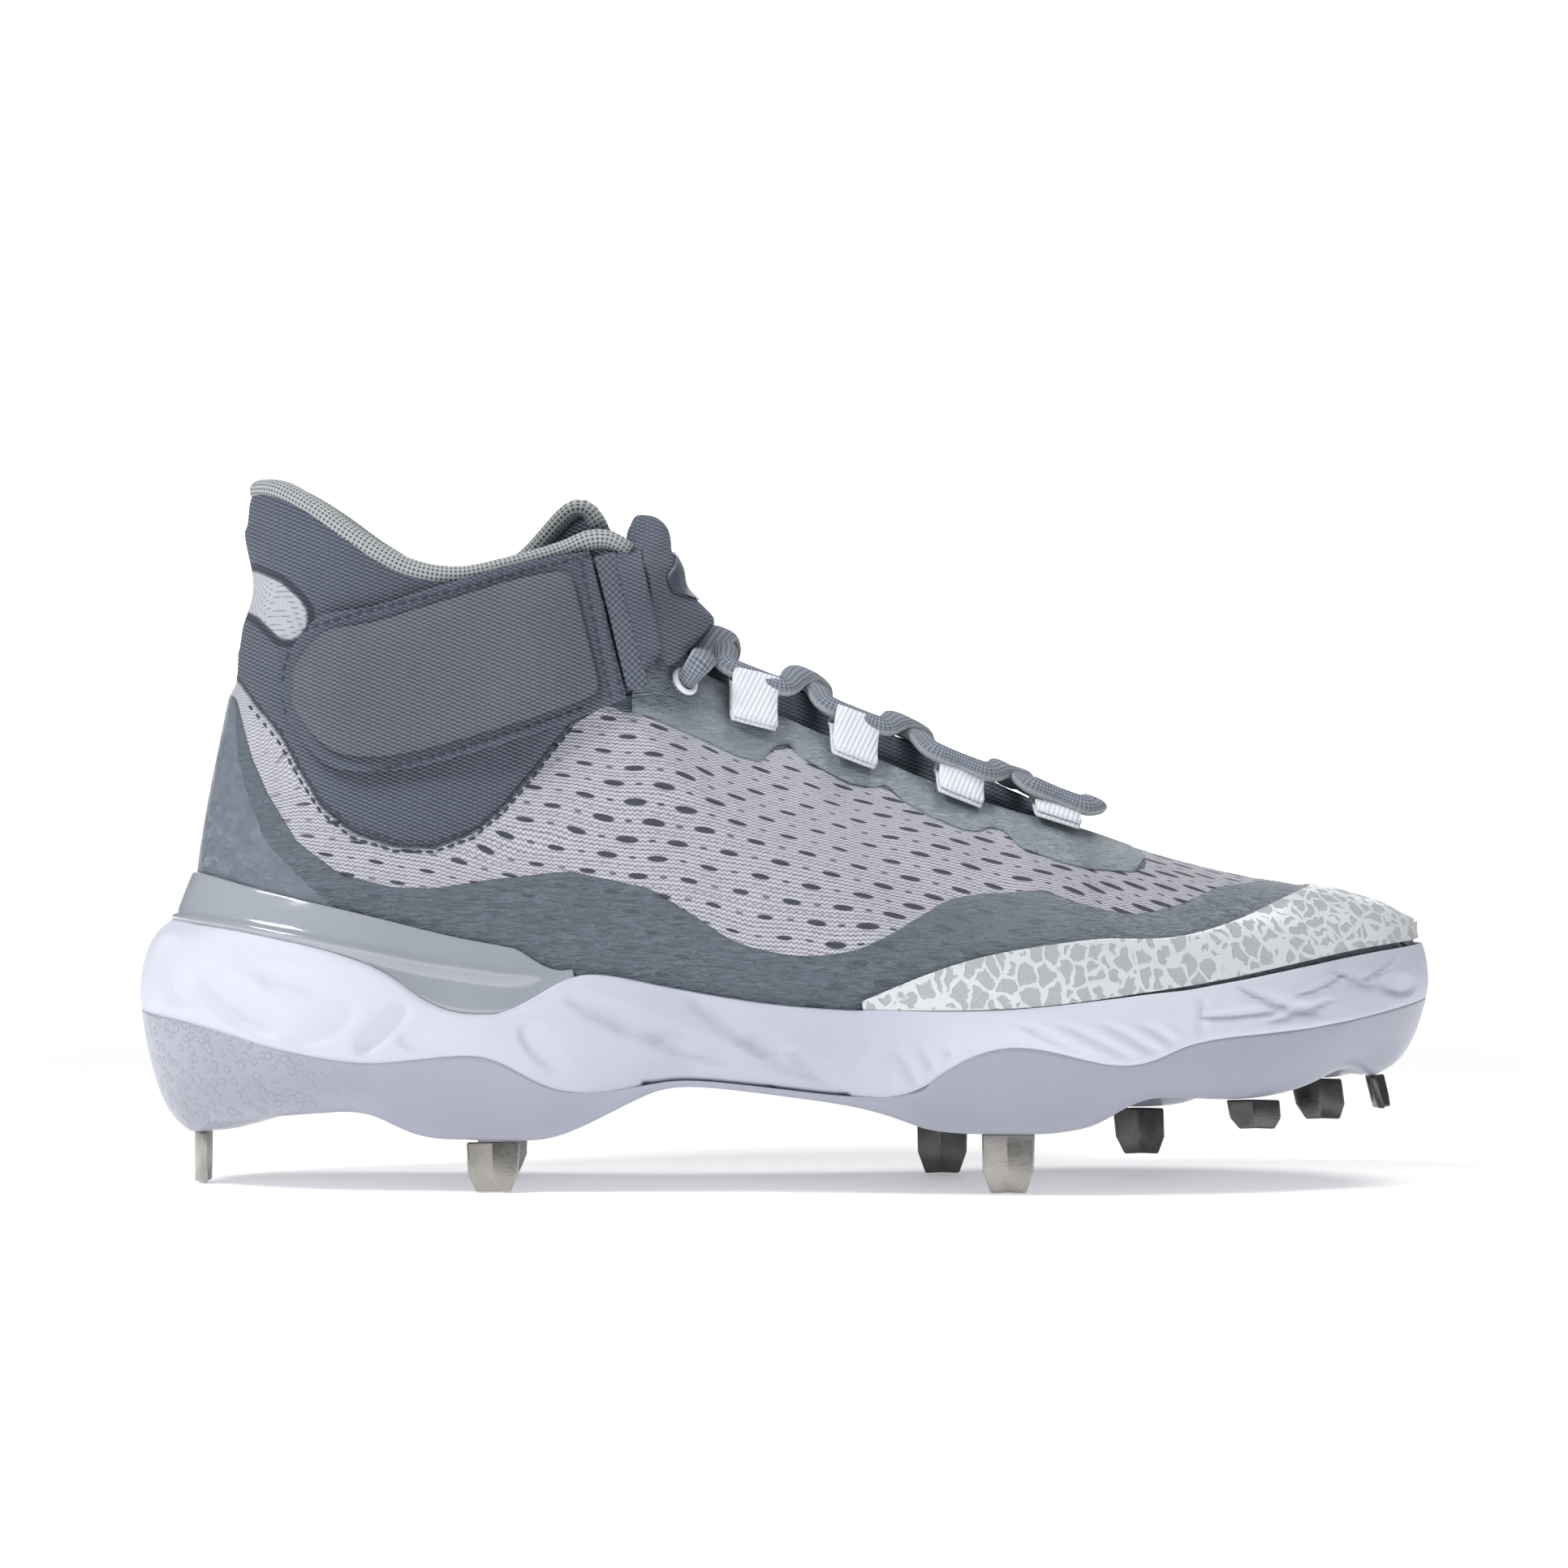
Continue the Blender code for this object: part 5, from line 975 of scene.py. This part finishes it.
def makePanel():
    # two padded rolls with the badge's hollow between them; the hollow's ends are filled out at the sides
    piece = makeSoft("ankle_panel", "anklePanel", neoprene, "padded", 4, 0.3)
    points, normals, sizes = pointsOf(piece), normalsOf(piece), waistSizes
    out = awayFromAnkle(points)
    facing = smooth((out * normals).sum(1), -0.2, 0.5)
    aside, above = np.abs(points[:, 1]), points[:, 2] - sizes["height"]
    lift = bell(above, sizes["wide"]) * (sizes["fill"] + sizes["sideFill"] * smooth(aside, 0.008, 0.018))
    lift -= sizes["dimple"] * bell(above, sizes["dimpleWide"]) * smooth(aside, 0.022, 0.027)
    setPoints(piece, points + out * (facing * lift * mm)[:, None])
    return piece


anklePanel = makePanel()
strapTab = makeSoft("strap_tab", "strapTab", neoprene, "padded", 4, 0.8)
strapPad = makeSoft("strap_pad", "strapPad", strapCloth, "padded", 4, 0.2)
strapAnchor = makeSoft("strap_anchor", "strapAnchor", neoprene, "padded", 3, 0.8)
sockLiner = makeSoft("insole", "sockLiner", lining, "lining", 3, 0.6)


def makeWebbing():
    finish = Finish("strapWebbing", colours["neoprene"], 0.9)
    basket = finish.math("SINE", finish.x * 4.2) * finish.math("SINE", finish.z * 4.2) * 0.5 + 0.5
    colour = finish.blend(basket * 0.8, colours["neopreneLight"], colours["thread"])
    material = finish.done(colour, finish.noise(2.0, 2.0) * 0.1 + 0.8, basket, 0.35)
    return makeSoft("strap_webbing", "strapWebbing", material, "padded", 3, 0.8)


strapWebbing = makeWebbing()


badgeSizes = {"spread": 1.5, "lift": 0.15, "thick": 0.75}


def makeBadge():
    finish = Finish("badgeRubber", colours["badge"], 0.4, Coat_Weight=0.2)
    material = finish.done(finish.blend(finish.noise(0.4, 2.0), colours["badge"], colours["film"]),
                           finish.noise(0.5, 2.0) * 0.15 + 0.35, finish.noise(1.2, 2.0), 0.06, 0.5)
    piece = makeSoft("badge", "plainBadge", material, "film", 3, 0.8)
    points, normals = pointsOf(piece), normalsOf(piece)
    out = awayFromAnkle(points)
    front = smooth((out * normals).sum(1), -0.3, 0.4)
    # half as wide again round the ankle, as it shows from the side
    turn = np.arctan2(out[:, 1], out[:, 0]) * badgeSizes["spread"]
    out = np.column_stack([np.cos(turn), np.sin(turn), np.zeros(len(turn))])
    reach = np.linalg.norm(points[:, :2] - np.array(ankleAxis), axis=1)
    points[:, :2] = np.array(ankleAxis) + reach[:, None] * out[:, :2]
    tree = treeOf(anklePanel)
    for k, (point, way) in enumerate(zip(points, out)):
        hit = tree.ray_cast(Vector(point + way * 0.03), Vector(-way))[0]
        if hit is not None:
            points[k] = np.array(hit) + way * (badgeSizes["lift"] + badgeSizes["thick"] * front[k]) * mm
    setPoints(piece, points)
    return piece


plainBadge = makeBadge()


borderShape = {
    # upper and lower pixel of each edge: where the sheet is hung, and the strip that is cut from it
    "rear": ((752, 682), (794, 850)), "front": ((792, 668), (822, 820)),
    "cutRear": ((756, 684), (797, 846)), "cutFront": ((788, 672), (818, 818)),
    "lines": 17, "rows": 7, "lift": -0.9, "thick": 1.3,
}


def between(edge, share):
    (ax, ay), (bx, by) = borderShape[edge]
    return ax + (bx - ax) * share, ay + (by - ay) * share


def makeBorder():
    # the panel's flat border, stretched from the webbing's front edge to the padding
    webbing, padding = treeOf(strapWebbing, strapTab), treeOf(anklePanel, tonguePad, upperShell)
    shares = [k / (borderShape["lines"] - 1) for k in range(borderShape["lines"])]
    points, faces = [], []
    for side in (-1, 1):
        for share in shares:
            rear = placeOnSide(webbing, *between("rear", share), -1, 0.2 * mm)[0]
            front = placeOnSide(padding, *between("front", share), -1, 0.4 * mm)[0]
            if rear is not None and front is not None:
                points += [Vector((spot.x, spot.y * -side, spot.z)) for spot in (rear, front)]
                at = len(points)
                if at > 2 and share:
                    faces.append([at - 4, at - 3, at - 1, at - 2])
    tree = BVHTree.FromPolygons(points, faces)
    upright = [(between("cutRear", share), between("cutFront", share)) for share in shares]
    piece = layGrid("panelBorder", tree, lambda side: upright, borderShape["rows"], (-1, 1),
                    borderShape["lift"], borderShape["thick"])
    soften(piece, 1)
    return give(piece, neoprene, "padded")


panelBorder = makeBorder()


# ---- lace loops and ring eyelets
def paintLoop():
    finish = Finish("loopWebbing", colours["loop"], 0.75)
    cords = finish.wave((finish.x * 0.9 - finish.z * 0.45) * 5.6)
    picks = finish.wave((finish.z * 0.9 + finish.x * 0.45) * 9.0)
    colour = finish.blend((1 - cords) * 0.5 + picks * 0.15, colours["loop"], colours["loopShade"])
    return finish.done(colour, finish.noise(2.0, 2.0) * 0.1 + 0.68, cords * 0.8 + picks * 0.2, 0.22, 0.9)


loopPaint = paintLoop()
ring = Finish("ringPlastic", colours["loop"], 0.5)
ringPaint = ring.done(ring.blend(ring.noise(0.5, 2.0), colours["loop"], colours["ringShade"]),
                      ring.noise(0.6, 2.0) * 0.2 + 0.4, ring.noise(1.5, 2.0), 0.05, 0.5)
for side in ("lateral", "medial"):
    for row in (1, 2, 3, 4):
        makeSoft(f"lace_loop_{side}_{row}", f"laceLoop{side.title()}{row}", loopPaint, "webbing", 2, 0.7)
    makeSoft(f"ring_eyelet_{side}", f"ringEyelet{side.title()}", ringPaint, "eyelet", 3)
print("soft goods done")


# ---- the lace: one flat cord from ring eyelet to ring eyelet, through every loop and back, in mm
laceSizes = {
    "wide": 7.2, "thick": 2.9, "bunchedWide": 4.6, "bunchedThick": 3.4, "step": 1.1, "sides": 16,
    "rest": 1.6,  # from the tongue to the lace's middle
    "ride": 2.32,  # how much higher the upper lace of a crossing runs
    "mouth": 6.8,  # from a loop's middle to where the lace opens out
    "barDrop": 2.0,
}


def pointsOfNode(node, top):
    # the points of a node that lie no more than this far under its top
    points = np.array([vertex.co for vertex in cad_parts[node].data.vertices])
    return points[points[:, 2] > points[:, 2].max() - top]


def middleOf(node, top=1.0):
    points = pointsOfNode(node, top)
    return Vector((points.min(0) + points.max(0)) / 2)


def crestOf(node):
    points = pointsOfNode(node, 0.0012)
    return Vector((points[:, 0].mean(), 0.0, points[:, 2].max()))


def laceStops():
    # resting points, each with the way the lace's broad side faces there and how bunched it is
    word = {-1: "lateral", 1: "medial"}
    rows = (1, 2, 3, 4)
    eyes = {(side, row): middleOf(f"lace_loop_{word[side]}_{row}", 0.0060)
            for side in word for row in rows}
    rings = {side: middleOf(f"ring_eyelet_{word[side]}") for side in word}
    up = Vector((0.40, 0, 0.92)).normalized()
    out = {side: Vector((0.30, side * 0.66, 0.68)).normalized() for side in word}
    hole = {side: Vector((0.55, side * 0.62, 0.55)).normalized() for side in word}
    mouth = {side: (eyes[side, 4] - eyes[side, 1]).normalized() * laceSizes["mouth"] * mm
             for side in word}
    tongue = treeOf(tonguePad)

    def through(side, row, way):
        centre, facing = eyes[side, row], out[side]
        ends = [(centre + mouth[side] * end * way + facing * 0.3 * mm, facing, 0.75) for end in (-1, 1)]
        return [ends[0], (centre, facing, 1.0), ends[1]]

    def over(side, row, above):
        # an arch from one loop's mouth over the crossing to the next loop's mouth
        start = eyes[side, row - 1] + mouth[side] if row > 1 else rings[side]
        end = eyes[-side, row] - mouth[-side]
        top = crestOf(f"lace_crossing_{row}")
        top.z = tongue.ray_cast(top + Vector((0, 0, 0.01)), Vector((0, 0, -1)))[0].z
        top += up * (laceSizes["rest"] + laceSizes["ride"] * above) * mm
        stops = [(top, up, 0.0)]
        for near in (start, end):
            aside = math.copysign(1, near.y)
            rest = near.lerp(top, 0.50) + (up + Vector((0, 0.8 * aside, 0))) * mm
            stops.append((rest, Vector((0.35, 0.55 * aside, 0.75)).normalized(), 0.12))
        return [stops[1], stops[0], stops[2]]

    def leave(side):
        start, away = rings[side], hole[side]
        return [(start - away * 3.0 * mm, away, 1.0), (start + away * 0.5 * mm, away, 1.0),
                (start + away * 3.0 * mm + Vector((1.5, 0, 2.2)) * mm, away, 0.55)]

    stops, side = leave(-1), -1
    for row in rows:
        stops += over(side, row, row % 2 == 1)
        side = -side
        stops += through(side, row, 1)
    stops.append((crestOf("lace_bar") - up * laceSizes["barDrop"] * mm, up, 0.05))
    side = -side
    for row in reversed(rows):
        stops += through(side, row, -1) + over(-side, row, row % 2 == 0)[::-1]
        side = -side
    return stops + leave(1)[::-1]


def smoothRoute(stops, step):
    # a smooth line through every stop, from three rounds of blending between neighbours
    points = [np.array(place) for place, _, _ in stops]
    points = [2 * points[0] - points[1]] + points + [2 * points[-1] - points[-2]]
    pyramid = ([(0, 1), (1, 2), (2, 3)], [(0, 2), (1, 3)], [(1, 2)])
    route = []
    for k, (_, facing, bunch) in enumerate(stops[:-1]):
        four = points[k:k + 4]
        times = [0.0]
        for p, q in zip(four, four[1:]):
            times.append(times[-1] + max(np.linalg.norm(q - p), 1e-6) ** 0.5)
        nextFacing, nextBunch = stops[k + 1][1:]
        count = max(2, int(np.linalg.norm(four[2] - four[1]) / step))
        for share in [i / count for i in range(count)]:
            t = times[1] + (times[2] - times[1]) * share
            level = four
            for spans in pyramid:
                level = [((times[high] - t) * level[j] + (t - times[low]) * level[j + 1])
                         / (times[high] - times[low]) for j, (low, high) in enumerate(spans)]
            squeeze = bunch * (1 - share) + nextBunch * share
            route.append((level[0], facing.lerp(nextFacing, share), squeeze))
    return route + [(points[-2], *stops[-1][1:])]


def sweepFlat(name, route, sizes, material, slot, nodes=()):
    mesh = bmesh.new()
    uv = mesh.loops.layers.uv.new("UVMap")
    sides, rings, lengths = sizes["sides"], [], [0.0]
    for k, (point, facing, bunch) in enumerate(route):
        before, after = route[max(k - 1, 0)][0], route[min(k + 1, len(route) - 1)][0]
        run = Vector(after - before).normalized()
        wide = run.cross(facing).normalized()
        deep = wide.cross(run).normalized()
        if k:
            lengths.append(lengths[-1] + float(np.linalg.norm(point - before)))
        wide *= (sizes["wide"] * (1 - bunch) + sizes["bunchedWide"] * bunch) * mm / 2
        deep *= (sizes["thick"] * (1 - bunch) + sizes["bunchedThick"] * bunch) * mm / 2
        ring = []
        for turn in [math.tau * i / sides for i in range(sides)]:
            c, s = math.cos(turn), math.sin(turn)
            offset = wide * math.copysign(abs(c) ** 0.8, c) + deep * math.copysign(abs(s) ** 0.9, s)
            ring.append(mesh.verts.new(Vector(point) + offset))
        rings.append(ring)
    for k in range(len(rings) - 1):
        for i in range(sides):
            corners = ((i, k), (i + 1, k), (i + 1, k + 1), (i, k + 1))
            face = mesh.faces.new([rings[along][around % sides] for around, along in corners])
            for loop, (around, along) in zip(face.loops, corners):
                loop[uv].uv = (lengths[along] * 1000, around / sides)
    mesh.faces.new(rings[0])
    mesh.faces.new(rings[-1])
    bmesh.ops.recalc_face_normals(mesh, faces=mesh.faces)
    data = bpy.data.meshes.new(name)
    mesh.to_mesh(data)
    mesh.free()
    data.shade_smooth()
    print(name, "is", round(lengths[-1] * 1000), "mm long")
    return give(newPiece(name, data), material, slot, *nodes)


def paintLace():
    finish = Finish("laceWeave", colours["lace"], 0.85)
    along, around = finish.alongAround()
    turn = around * math.tau
    along, around = along * 4.4, around * 56.5
    crossed = finish.math("SINE", along + around) * finish.math("SINE", along - around)
    braid = crossed * 0.5 + 0.5
    rim = finish.step(finish.math("ABSOLUTE", finish.math("COSINE", turn)), 0.80, 0.97)
    colour = finish.blend(braid, colours["lace"], colours["laceMid"])
    colour = finish.blend(rim * 0.8, colour, colours["laceLight"])
    return finish.done(colour, finish.noise(1.5, 2.0) * 0.1 + 0.78, braid, 0.30, 0.9)


laceNodes = ["lace_crossing_1", "lace_crossing_2", "lace_crossing_3", "lace_crossing_4", "lace_bar"]
laceWeave = paintLace()
laceRoute = smoothRoute(laceStops(), laceSizes["step"] * mm)
flatLace = sweepFlat("flatLace", laceRoute, laceSizes, laceWeave, "lace", laceNodes)


def roundCord(diameter, step, sides, tall=None):
    tall = tall or diameter
    return {"wide": diameter, "thick": tall, "bunchedWide": diameter, "bunchedThick": tall, "step": step,
            "sides": sides}


# the thin cord over the second crossing: pixels along it, and how far each lies from the middle plane
keeperSizes = roundCord(1.3, 0.8, 8)
keeperSpots = [((928, 846), 6), ((940, 841), 5), ((967, 836), 3.5), ((999, 853), 3), ((1016, 866), 4),
               ((1031, 884), 7)]


def makeKeeper():
    pixels, stops = photo["mmPerPixel"] * mm, []
    for (px, py), depth in keeperSpots:
        spot = Vector(((px - photo["middleX"]) * pixels, -depth * mm, (photo["floorY"] - py) * pixels))
        stops.append((spot, Vector((0, 0, 1)), 0.0))
    route = smoothRoute(stops, keeperSizes["step"] * mm)
    return sweepFlat("keeperCord", route, keeperSizes, laceWeave, "lace")


keeperCord = makeKeeper()


# ---- rib binding along the collar's top edge
bindingSizes = roundCord(5.8, 2.0, 16, 4.8)
# where its ends run on from the collar's front corners, in mm: to the panel, and down into the lobe
bindingEnds = {"outer": [(13.5, 1.5, -0.5), (9.0, 0.8, 2.2), (4.5, 0.2, 2.0)],
               "inner": [(3.0, 0, -1.0), (5.5, 0, -5.0)]}


def collarRim():
    # the middle of the upper's top edge, from the outer front corner round the heel to the inner one
    guide = freshCopy("upper", "rimGuide")
    faces = [face for face in guide.data.polygons if face.normal.z > 0.72 and face.center.z > 0.120]
    spots = raiseLobe(np.array([list(face.center) for face in faces]))
    bpy.data.objects.remove(guide)
    heelward = -0.075 - spots[:, 0]
    return [Vector(spot) for spot in spots[np.argsort(np.arctan2(spots[:, 1], heelward), kind="stable")]]


def makeBinding():
    finish = Finish("ribKnit", colours["rib"], 0.9)
    along, around = finish.alongAround()
    along, around = along * 3.0, around * 51.0
    crossed = finish.math("SINE", along + around) * finish.math("SINE", along - around)
    pores = finish.step(crossed, 0.15, 0.75)
    colour = finish.blend(pores * 0.8, colours["rib"], colours["ribShade"])
    material = finish.done(colour, finish.noise(1.0, 1.0) * 0.1 + 0.8, 1 - pores, 0.45)
    spots = collarRim()
    outer = [spots[0] + Vector(way) * mm for way in bindingEnds["outer"]]
    inner = [spots[-1] + Vector(way) * mm for way in bindingEnds["inner"]]
    up = Vector((0, 0, 1))
    stops = [(spot - up * mm, up, 0.0) for spot in outer + spots + inner]
    route = smoothRoute(stops, bindingSizes["step"] * mm)
    return sweepFlat("collarBinding", route, bindingSizes, material, "padded")


collarBinding = makeBinding()
print("lace and binding done")


# ---- stitches
stitchSizes = {"pitch": 2.6, "length": 2.0, "radius": 0.40, "flat": 0.8, "lift": 0.05}  # in mm


def oneStitch():
    length, radius = stitchSizes["length"] * mm, stitchSizes["radius"] * mm
    deselectAll()
    bpy.ops.mesh.primitive_uv_sphere_add(segments=6, ring_count=4, radius=radius, location=(0, 0, 0))
    stitch = bpy.context.object
    bpy.ops.object.mode_set(mode="EDIT")
    bpy.ops.mesh.select_all(action="SELECT")
    bpy.ops.transform.resize(value=(length / 2 / radius, 1, stitchSizes["flat"]))
    bpy.ops.object.mode_set(mode="OBJECT")
    points, faces = pointsOf(stitch), [list(face.vertices) for face in stitch.data.polygons]
    bpy.data.objects.remove(stitch)
    return points, faces


def spotsAlong(line):
    # evenly spaced pixels along a line, with the way it runs there
    spots, along = [], 0.0
    for (ax, ay), (bx, by) in zip(line, line[1:]):
        run = math.hypot(bx - ax, by - ay) * photo["mmPerPixel"]
        while along < run:
            share = along / run
            spots.append((ax + (bx - ax) * share, ay + (by - ay) * share, bx - ax, by - ay))
            along += stitchSizes["pitch"]
        along -= run
    return spots


def sewLines(name, seams, material, slot):
    # seams holds, for each one, the surface's tree, the pixels along it and the side it is on
    shape, shapeFaces = oneStitch()
    lift, points, faces = stitchSizes["lift"] * mm, [], []
    for tree, line, side in seams:
        for px, py, dx, dy in spotsAlong(line):
            place, normal = placeOnSide(tree, px, py, side, lift)
            ahead = placeOnSide(tree, px + dx * 0.02, py + dy * 0.02, side, lift)[0]
            if place is None or ahead is None or (ahead - place).length < 1e-6:
                continue
            run = (ahead - place).normalized()
            turned = shape @ np.array([run, normal.cross(run).normalized(), normal])
            faces += [[len(points) * len(shape) + k for k in face] for face in shapeFaces]
            points.append(turned + np.array(place))
    data = bpy.data.meshes.new(name)
    data.from_pydata(np.concatenate(points).tolist(), [], faces)
    data.shade_smooth()
    return give(newPiece(name, data), material, slot)


def makeStitches():
    finish = Finish("stitchThread", colours["thread"], 0.7)
    twist = finish.wave((finish.x + finish.z) * 9.0)
    colour = finish.blend(twist * 0.6, colours["thread"], colours["threadLight"])
    material = finish.done(colour, twist * 0.1 + 0.65, twist, 0.08, 0.6)
    tab, skin = treeOf(strapTab), treeOf(upperShell)
    outline = [(722, 684), (648, 702), (565, 725), (440, 755), (378, 774), (360, 790), (349, 825),
               (346, 858), (358, 900), (381, 932), (418, 952), (461, 951), (502, 941), (565, 924),
               (648, 897), (726, 870)]
    fronts = [[(716, 694), (752, 862)], [(731, 690), (766, 858)]]
    seams = [(tab, line, -1) for line in [outline] + fronts]
    for dx, dy in ((2, -7), (-1, 6)):
        beside = [(px + dx, py + dy) for px, py in upperLines["collarSeam"][2:14]]
        seams += [(skin, beside, -1), (skin, beside, 1)]
    return sewLines("seamStitches", seams, material, "padded")


seamStitches = makeStitches()
print("stitches done")
